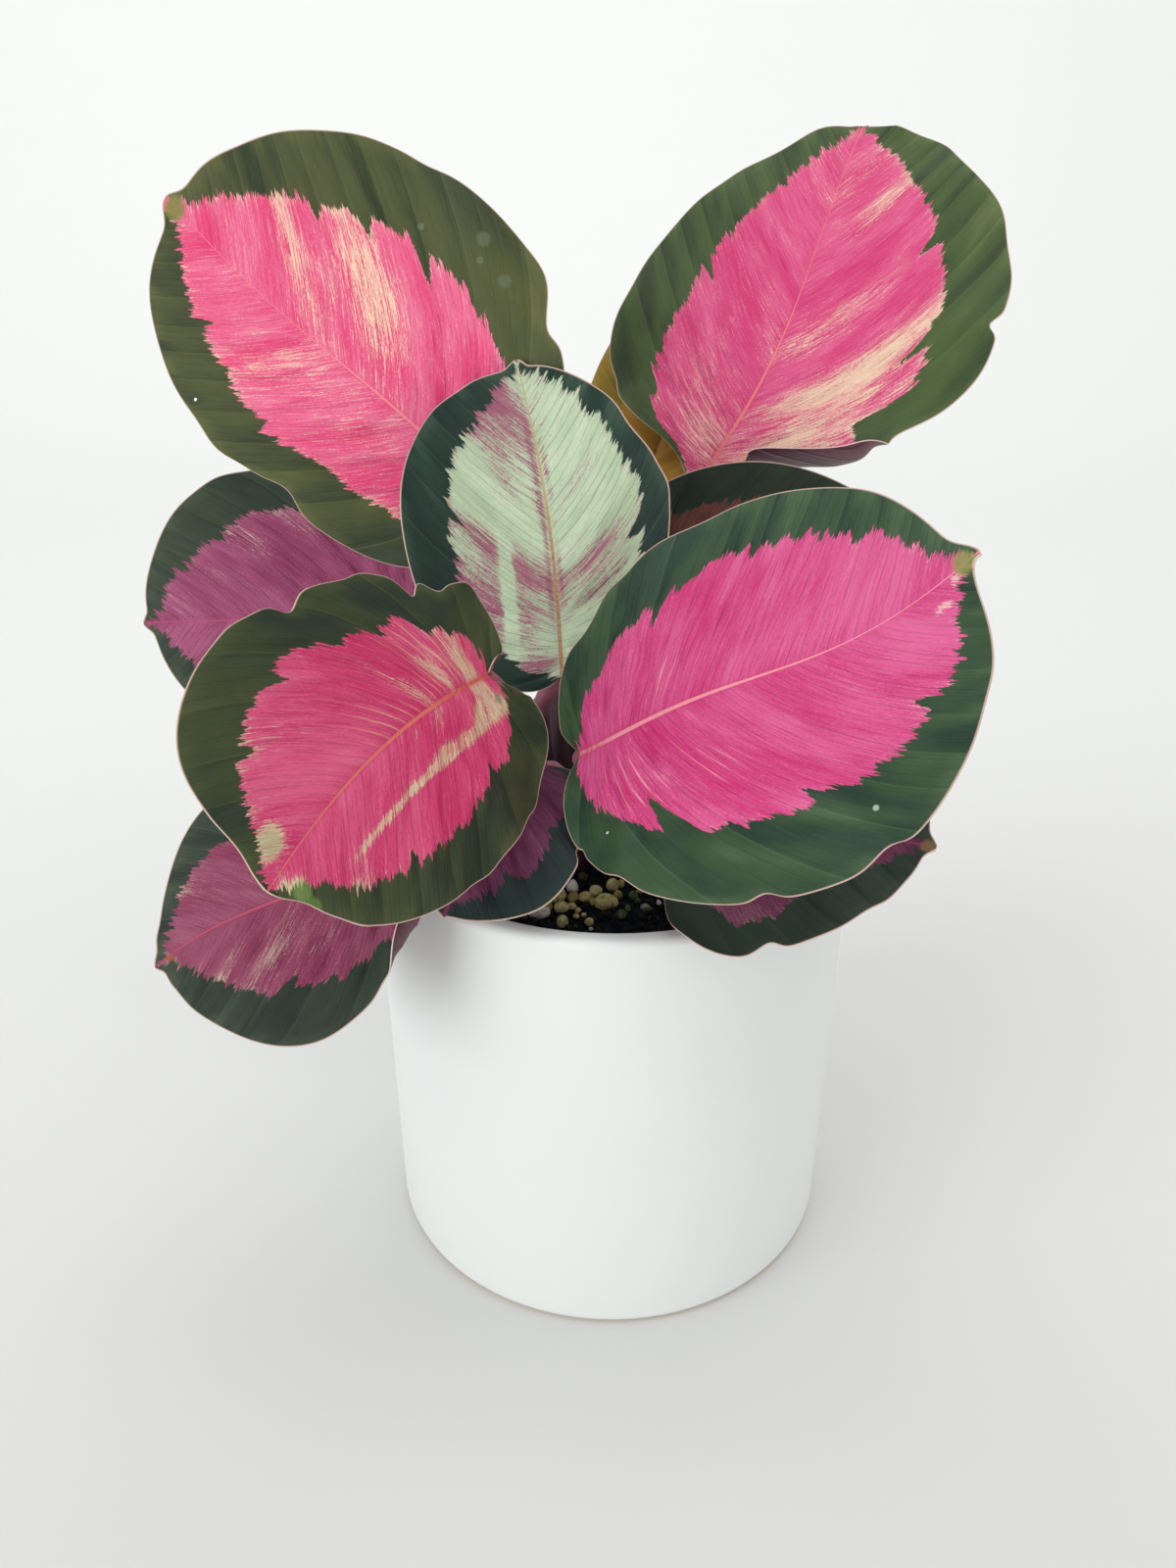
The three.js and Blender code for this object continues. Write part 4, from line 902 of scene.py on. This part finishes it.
def addLeaf(name, form, look, seed, finishes):
    rows, columns = blade["largeGrid"] if form["length"] > blade["large"] else blade["smallGrid"]
    bpy.ops.mesh.primitive_grid_add(x_subdivisions=rows, y_subdivisions=columns, size=2)
    leaf = added("blade_" + name)
    flat = points(leaf.data)
    s = blade["firstRow"] + (flat[:, 0] + 1) / 2 * (1 - blade["firstRow"])
    t = np.clip(-flat[:, 1], -1, 1)
    share = np.abs(t)
    made = bladeSurface(form, s, t)
    made["vein"] = veinPlace(form, made["along"], made["across"])
    made["edge"] = (1 - share) * made["margin"]
    raised = quilting(made, share, s, seed)
    movePoints(leaf.data, (made["surface"] + made["normal"] * raised[:, None]) * mm)
    for field in ("vein", "across", "along", "edge"):
        writeField(leaf.data, field, made[field])
    writeField(leaf.data, "inside", zoneInside(form, look, s, t, made))
    writeField(leaf.data, "cream", patches(form, made, look["cream"], look["strips"]))
    writeField(leaf.data, "glow", patches(form, made, look["glow"]))
    writeField(leaf.data, "rays", patches(form, made, look["rays"]))

    group = leaf.vertex_groups.new(name="thick")
    for index, weight in enumerate(bladeWeights(made, s)):
        group.add([index], float(weight), "REPLACE")
    for material in (leafFinish(name, look, seed), *finishes):
        leaf.data.materials.append(material)
    solid = leaf.modifiers.new("blade", "SOLIDIFY")
    solid.thickness = (blade["thickness"] + blade["ribHeight"]) * mm
    solid.offset = -1
    solid.vertex_group = "thick"
    solid.material_offset = 1
    solid.material_offset_rim = 2
    applyAll(leaf)
    smooth(leaf, 55)
    hand(leaf, look["slot"], "leaf_" + name)


leafFinishes = (undersideFinish(), marginFinish())
for number, (leafName, leafForm) in enumerate(leafForms.items()):
    leafSeed = blade["seed"] + blade["seedStep"] * number
    addLeaf(leafName, leafForm, leafLooks[leafName], leafSeed, leafFinishes)
print("leaves are made")

# A stalk leaves the soil in a sheath, swells to a pulvinus below the blade and joins the blade's underside.
stalk = {
    "soilTop": 121, "rootDepth": 14, "sheathRadius": 5.0, "sheathShare": 0.85, "radius": 2.4,
    "pulvinusRadius": 2.9, "pulvinusLength": 10, "pulvinusFade": (1.6, 11), "drop": 3.4, "cuts": 14,
    "joinForward": 6, "joinDrop": 1.4, "joinRadius": 0.8, "joinHandles": (2.5, 2), "sides": 5, "rings": 4,
    "dark": (38, 20, 32), "bright": (62, 34, 46), "streak": (70, 62, 50), "pulvinus": (164, 100, 116),
}


def stalkFinish():
    skin = Finish("stalk", roughness=0.5, specular=0.3)
    swell = skin.field("pulvinus")
    place = skin.place()
    stretched = skin.node("ShaderNodeMapping", inputs={"Vector": place, "Scale": (900, 900, 50)})
    streaks = skin.noise(stretched, detail=3)
    cloud = skin.noise(place, scale=90, detail=2)
    colour = skin.mix(skin.rise(cloud, 0.35, 0.65), paint(*stalk["dark"]), paint(*stalk["bright"]))
    colour = skin.mix(skin.rise(streaks, 0.52, 0.75, 0.0, 0.5), colour, paint(*stalk["streak"]))
    skin.colour(skin.mix(swell, colour, paint(*stalk["pulvinus"])))
    skin.bump(streaks, 0.3 * mm, 0.5)
    return skin.material


def addStalk(name, form, material):
    point, forward, _, up = (v[0] for v in midribFrame(form, np.array([0.0])))
    end = point - up * stalk["drop"]
    join = point + forward * stalk["joinForward"] - up * stalk["joinDrop"]
    start = np.array([form["foot"][0], form["foot"][1], stalk["soilTop"] - stalk["rootDepth"]], float)
    upward = start + np.array([0, 0, stalk["rootDepth"] + form["rise"][0]])
    approach = end - forward * form["rise"][1] + np.array(form["veer"])
    bpy.ops.curve.primitive_bezier_curve_add()
    curve = added("petiole_" + name)
    spline = curve.data.splines[0]
    for knot in spline.bezier_points:
        knot.handle_left_type = knot.handle_right_type = "FREE"
    first, last = spline.bezier_points
    first.co, first.handle_left, first.handle_right = start * mm, start * mm, upward * mm
    last.co, last.handle_left, last.handle_right = end * mm, approach * mm, end * mm
    bpy.ops.object.mode_set(mode="EDIT")
    bpy.ops.curve.select_all(action="SELECT")
    bpy.ops.curve.subdivide(number_cuts=stalk["cuts"])
    bpy.ops.object.mode_set(mode="OBJECT")
    spline = curve.data.splines[0]
    spline.bezier_points.add(1)
    leaving, arriving = stalk["joinHandles"]
    spline.bezier_points[-2].handle_right = (end + forward * leaving) * mm
    joint = spline.bezier_points[-1]
    joint.co = join * mm
    joint.handle_left, joint.handle_right = (join - forward * arriving) * mm, (join + forward) * mm

    knots = [np.array(knot.co) / mm for knot in spline.bezier_points]
    steps = [np.linalg.norm(b - a) for a, b in zip(knots, knots[1:])]
    lengths = np.concatenate([[0], np.cumsum(steps)])
    total = lengths[-2]
    for knot, length in zip(spline.bezier_points, lengths):
        sheath = max(0, 1 - length / (stalk["sheathShare"] * total)) ** 0.5
        radius = stalk["radius"] + (stalk["sheathRadius"] - stalk["radius"]) * sheath
        swell = min(1, max(0, (length - total + stalk["pulvinusLength"]) / stalk["pulvinusLength"]))
        swell = swell * swell * (3 - 2 * swell)
        knot.radius = radius + (stalk["pulvinusRadius"] - radius) * swell
    joint.radius = stalk["joinRadius"]
    curve.data.dimensions = "3D"
    curve.data.bevel_depth = mm
    curve.data.bevel_resolution = stalk["sides"]
    curve.data.resolution_u = stalk["rings"]
    curve.data.use_fill_caps = True
    pick(curve)
    bpy.ops.object.convert(target="MESH")
    tube = bpy.context.object
    far = np.linalg.norm(points(tube.data) / mm - end, axis=1)
    full, fade = stalk["pulvinusFade"]
    writeField(tube.data, "pulvinus", np.clip(full - far / fade, 0, 1))
    tube.data.materials.clear()
    tube.data.materials.append(material)
    smooth(tube, 60)
    hand(tube, "stalk", "stalk_" + name)


stalkSkin = stalkFinish()
for leafName, leafForm in leafForms.items():
    addStalk(leafName, leafForm, stalkSkin)
print("stalks are made")

# The pot in millimetres: a straight shell on a foot that fades from glaze to bare clay.
pot = {
    "height": 133, "rimRadius": 70, "baseRadius": 68.8, "wall": 6.4, "floor": 6, "footInset": 2,
    "footHeight": 1.2, "footFade": (1.6, 0.9), "rounding": 2.6, "roundingSteps": 5, "sides": 128,
    "dark": (228, 231, 230), "bright": (233, 235, 233), "footColour": (206, 190, 168),
}


def potFinish():
    glaze = Finish("glaze", roughness=0.55, specular=0.3)
    place = glaze.place()
    cloud = glaze.noise(place, scale=18, detail=3)
    speck = glaze.noise(place, scale=420, detail=2)
    colour = glaze.mix(cloud, paint(*pot["dark"]), paint(*pot["bright"]))
    height = glaze.node("ShaderNodeSeparateXYZ", inputs={0: place}, out="Z")
    foot = glaze.rise(height / mm, *pot["footFade"])
    glaze.colour(glaze.mix(foot, colour, paint(*pot["footColour"])))
    glaze.roughness(glaze.rise(cloud + foot * 0.6, 0.3, 1.0, 0.42, 0.75))
    glaze.bump(speck * 0.6 + cloud, 0.1 * mm, 0.5)
    return glaze.material


def selectFaces(obj, test):
    bpy.ops.object.mode_set(mode="EDIT")
    bpy.ops.mesh.select_mode(type="FACE")
    shape = bmesh.from_edit_mesh(obj.data)
    for face in shape.faces:
        face.select = bool(test(face))
    shape.select_flush_mode()
    bmesh.update_edit_mesh(obj.data)


def addPot():
    inner = pot["rimRadius"] - pot["wall"]
    bpy.ops.mesh.primitive_cylinder_add(
        vertices=pot["sides"], radius=pot["baseRadius"] * mm, depth=pot["height"] * mm,
        location=(0, 0, pot["height"] / 2 * mm), end_fill_type="NGON",
    )
    shell = settle(added("pot_shell"))
    places = points(shell.data)
    wider = np.where(places[:, 2] > pot["height"] / 2 * mm, pot["rimRadius"] / pot["baseRadius"], 1.0)
    places[:, :2] *= wider[:, None]
    movePoints(shell.data, places)
    pick(shell)
    selectFaces(shell, lambda face: face.normal.z > 0.9)
    bpy.ops.mesh.inset(thickness=pot["wall"] * mm)
    deep = (pot["height"] - pot["floor"]) * mm
    bpy.ops.mesh.extrude_region_move(TRANSFORM_OT_translate={"value": (0, 0, -deep)})
    narrow = (pot["baseRadius"] - pot["wall"]) / inner
    bpy.ops.transform.resize(value=(narrow, narrow, 1))
    selectFaces(shell, lambda face: face.normal.z < -0.9)
    bpy.ops.mesh.inset(thickness=pot["footInset"] * mm)
    bpy.ops.mesh.extrude_region_move(TRANSFORM_OT_translate={"value": (0, 0, 0)})
    bpy.ops.object.mode_set(mode="OBJECT")
    places = points(shell.data)
    radius = np.hypot(places[:, 0], places[:, 1]) / mm
    atBottom = places[:, 2] < pot["footHeight"] / 2 * mm
    outerFoot = atBottom & (radius > pot["baseRadius"] - pot["footInset"] / 2)
    places[outerFoot, 2] = pot["footHeight"] * mm  # the outer edge stands a little above the table
    movePoints(shell.data, places)
    turnOutwards(shell)
    rounding = shell.modifiers.new("rounding", "BEVEL")
    rounding.width = pot["rounding"] * mm
    rounding.segments = pot["roundingSteps"]
    rounding.limit_method = "ANGLE"
    rounding.angle_limit = math.radians(40)
    applyAll(shell)
    smooth(shell, 40)
    shell.data.materials.append(potFinish())
    hand(shell, "glaze", "pot")


addPot()
print("pot is made")

# The bed fills the pot, highest at the crown of stalks. relief, clods and crumbly are its unevenness, from
# broad to fine. The grid's edge is drawn down by the skirt and then set at the bottom.
soil = {
    "top": 121, "crown": (-6, 3), "crownRise": 3, "crownRadius": 26, "relief": 0.7, "radius": 63.1,
    "bottom": 6.3, "bottomRadius": 55.1, "grid": 150, "sink": 0.3, "clods": 0.5, "crumbly": 0.35,
    "broadWaves": (0.21, 0.17), "fineWaves": (0.4, 0.33), "fineShare": 0.6, "clodWaves": (0.9, 0.5, 1.1),
    # these colours are darker and bluer than the soil's own, in part a painted shade for the shadow under
    # the leaves
    "skirt": 50, "seed": 5, "dark": (8, 14, 22), "bright": (34, 42, 50), "damp": (15, 19, 25),
}


def soilLevel(x, y):
    crown = np.exp(-((x - soil["crown"][0]) ** 2 + (y - soil["crown"][1]) ** 2) / soil["crownRadius"] ** 2)
    (broadX, broadY), (fineX, fineY) = soil["broadWaves"], soil["fineWaves"]
    relief = np.sin(x * broadX + 1) * np.cos(y * broadY)
    relief = relief + soil["fineShare"] * np.sin(x * fineX - y * fineY)
    return soil["top"] + soil["crownRise"] * crown + soil["relief"] * relief


def soilFinish():
    earth = Finish("soil", roughness=0.95, specular=0.15)
    place = earth.place()
    lumps = earth.noise(place, scale=260, detail=5, roughness=0.7)
    damp = earth.noise(place, scale=40, detail=2)
    colour = earth.mix(earth.rise(lumps, 0.35, 0.75), paint(*soil["dark"]), paint(*soil["bright"]))
    earth.colour(earth.mix(earth.rise(damp, 0.4, 0.7, 0.0, 0.5), colour, paint(*soil["damp"])))
    earth.bump(lumps, 1.2 * mm)
    return earth.material


def addSoil():
    bpy.ops.mesh.primitive_grid_add(x_subdivisions=soil["grid"], y_subdivisions=soil["grid"], size=2)
    bed = added("soil_bed")
    flat = points(bed.data)
    x, y = flat[:, 0], flat[:, 1]
    ring = np.maximum(np.abs(x), np.abs(y))
    turn = np.arctan2(y, x)
    # a square's rings become circles, so that the grid fills the pot
    stretch = np.where(ring > 0, ring / np.maximum(np.hypot(x, y), 1e-9), 0) * soil["radius"]
    x, y = x * stretch, y * stretch
    rng = np.random.default_rng(soil["seed"])
    crumbly = rng.normal(0, soil["crumbly"], len(x)) * (ring < 0.995)
    clodX, clodBend, clodY = soil["clodWaves"]
    clods = soil["clods"] * np.sin(x * clodX + 2 * np.sin(y * clodBend)) * np.sin(y * clodY + turn)
    level = soilLevel(x, y) + crumbly + clods - soil["sink"]
    movePoints(bed.data, np.stack([x, y, level], -1) * mm)
    pick(bed)
    bpy.ops.object.mode_set(mode="EDIT")
    bpy.ops.mesh.select_all(action="DESELECT")
    bpy.ops.mesh.select_mode(type="EDGE")
    shape = bmesh.from_edit_mesh(bed.data)
    for edge in shape.edges:
        edge.select = edge.is_boundary
    bmesh.update_edit_mesh(bed.data)
    bpy.ops.mesh.extrude_edges_move(TRANSFORM_OT_translate={"value": (0, 0, -soil["skirt"] * mm)})
    bpy.ops.mesh.edge_face_add()
    bpy.ops.object.mode_set(mode="OBJECT")
    places = points(bed.data)
    low = places[:, 2] < (soil["top"] - soil["skirt"] / 2) * mm
    places[low, 2] = soil["bottom"] * mm
    places[low, :2] *= soil["bottomRadius"] / soil["radius"]
    movePoints(bed.data, places)
    turnOutwards(bed)
    smooth(bed, 60)
    bed.data.materials.append(soilFinish())
    hand(bed, "soil", "soil")


# What lies loose on the soil. rise: how high a lump's middle stands, in its own radii. rough: how uneven it
# is. levels: how often its ball is divided. In the stops, a share of the lumps goes with a colour.
loose = {
    "grit": {
        "slot": "granules", "rise": 0.55, "levels": 3, "rough": 0.1, "seed": 3,
        "stops": [(0.0, (158, 142, 74)), (0.35, (196, 180, 108)), (0.6, (206, 196, 142)),
                  (0.85, (182, 158, 104)), (1.0, (142, 132, 70))],
        "pores": (0.35, 0.7, 0.0, 0.6), "poreColour": (92, 84, 48), "roughness": 0.75, "specular": 0.3,
    },
    "perlite": {
        "slot": "granules", "rise": 0.5, "levels": 3, "rough": 0.16, "seed": 4,
        "dark": (196, 192, 184), "bright": (226, 224, 218),
    },
    "moss": {
        "slot": "soil", "rise": 0.4, "levels": 3, "rough": 0.2, "seed": 6,
        "dark": (54, 66, 44), "bright": (84, 92, 62),
    },
    "crumbs": {
        "slot": "soil", "rise": 0.15, "levels": 1, "rough": 0.15, "seed": 8,
        # the dark stops are in part a painted shade for the shadow under the leaves
        "stops": [(0.0, (18, 18, 21)), (0.6, (34, 32, 33)), (0.9, (58, 50, 42)), (0.965, (86, 90, 60)),
                  (0.99, (196, 194, 184))],
        "pores": (0.4, 0.7, 0.0, 0.5), "poreColour": (20, 18, 20), "roughness": 0.9, "specular": 0.15,
    },
}
# the lumps at the front, in millimetres: x, y, radius
grains = [
    (-1.9, -33.5, 2.6), (-14.7, -28.6, 1.8), (-10.9, -29.7, 1.9), (-7.7, -29.9, 1.7), (-4.8, -27.7, 1.8),
    (-0.1, -24.6, 1.9), (2.2, -22.9, 1.2), (-14.3, -34.2, 2.0), (-13.9, -42.4, 1.8), (-6.7, -41.2, 1.3),
    (-5.6, -32.4, 1.2), (-17.8, -33.7, 1.3), (-16.8, -30.5, 1.1), (-9.7, -35.8, 1.0), (-8.1, -37.7, 0.7),
    (7.7, -25.6, 1.1), (-10.2, -38.3, 0.8), (-11.6, -33.4, 1.2), (1.4, -28.2, 1.2), (-18.6, -26.8, 1.4),
]
whiteGrains = [
    (-11.4, -25.0, 1.9), (-20.7, -37.2, 2.3), (-18.6, -36.2, 1.5), (12.6, -31.5, 0.8), (-6.2, -44.6, 0.6),
]
greenBits = [
    (2.3, -39.6, 1.4), (5.6, -28.5, 1.2), (3.9, -36.4, 1.1), (9.6, -35.2, 0.9), (6.8, -32.2, 0.8),
]
# the crumbs lie all over the bed, drawn at random and kept where they fall inside its reach
crumb = {"count": 1400, "seed": 21, "spread": 64, "reach": 63, "radius": (0.35, 1.3)}
lumpWaves = (3.1, 2.7, 3.5)  # how closely a lump's bumps follow each other along its three axes


def lumpMesh(levels):  # the ball that every lump is shaped from
    bpy.ops.mesh.primitive_ico_sphere_add(subdivisions=levels, radius=1)
    ball = added("ball")
    verts = points(ball.data)
    faces = [tuple(p.vertices) for p in ball.data.polygons]
    bpy.data.objects.remove(ball)
    return verts, faces


def scatter(name, spots, material, *nodes):
    lump = loose[name]
    rough = lump["rough"]
    verts, faces = lumpMesh(lump["levels"])
    rng = np.random.default_rng(lump["seed"])
    allVerts, allFaces, tints = [], [], []
    for x, y, radius in spots:
        squeeze = 1 + rng.normal(0, rough, 3)
        phase = rng.uniform(0, 6, 3)
        bumps = 1 + rough * np.sin(verts * lumpWaves + phase).sum(1) / 2
        shaped = verts * bumps[:, None] * squeeze * radius
        start = len(allVerts) * len(verts)
        allVerts.append(shaped + np.array([x, y, float(soilLevel(x, y)) + radius * lump["rise"]]))
        allFaces += [tuple(i + start for i in f) for f in faces]
        tints += [rng.uniform()] * len(verts)
    obj = meshPiece(name, np.vstack(allVerts) * mm, allFaces)
    writeField(obj.data, "tint", tints)
    obj.data.materials.append(material)
    smooth(obj, 60)
    hand(obj, lump["slot"], *nodes)


def mixedFinish(name, look):  # each lump takes its own colour from the stops
    bits = Finish(name, look["roughness"], look["specular"])
    pores = bits.noise(bits.place(), scale=900, detail=3)
    colour = bits.ramp(bits.field("tint"), look["stops"])
    bits.colour(bits.mix(bits.rise(pores, *look["pores"]), colour, paint(*look["poreColour"])))
    bits.bump(pores, 0.4 * mm)
    return bits.material


def plainFinish(name, look):
    rough = Finish(name, roughness=0.85, specular=0.2)
    pores = rough.noise(rough.place(), scale=700, detail=3)
    rough.colour(rough.mix(rough.rise(pores, 0.35, 0.65), paint(*look["dark"]), paint(*look["bright"])))
    rough.bump(pores, 0.4 * mm)
    return rough.material


def crumbSpots():
    rng = np.random.default_rng(crumb["seed"])
    spots = []
    while len(spots) < crumb["count"]:
        x, y = rng.uniform(-crumb["spread"], crumb["spread"], 2)
        radius = float(rng.uniform(*crumb["radius"]))
        if math.hypot(x, y) < crumb["reach"]:
            spots.append((x, y, radius))
    return spots


addSoil()
scatter("grit", grains, mixedFinish("granules", loose["grit"]), "granules")
scatter("perlite", whiteGrains, plainFinish("perlite", loose["perlite"]))
scatter("moss", greenBits, plainFinish("moss", loose["moss"]))
scatter("crumbs", crumbSpots(), mixedFinish("crumbs", loose["crumbs"]))
print("soil and granules are made")
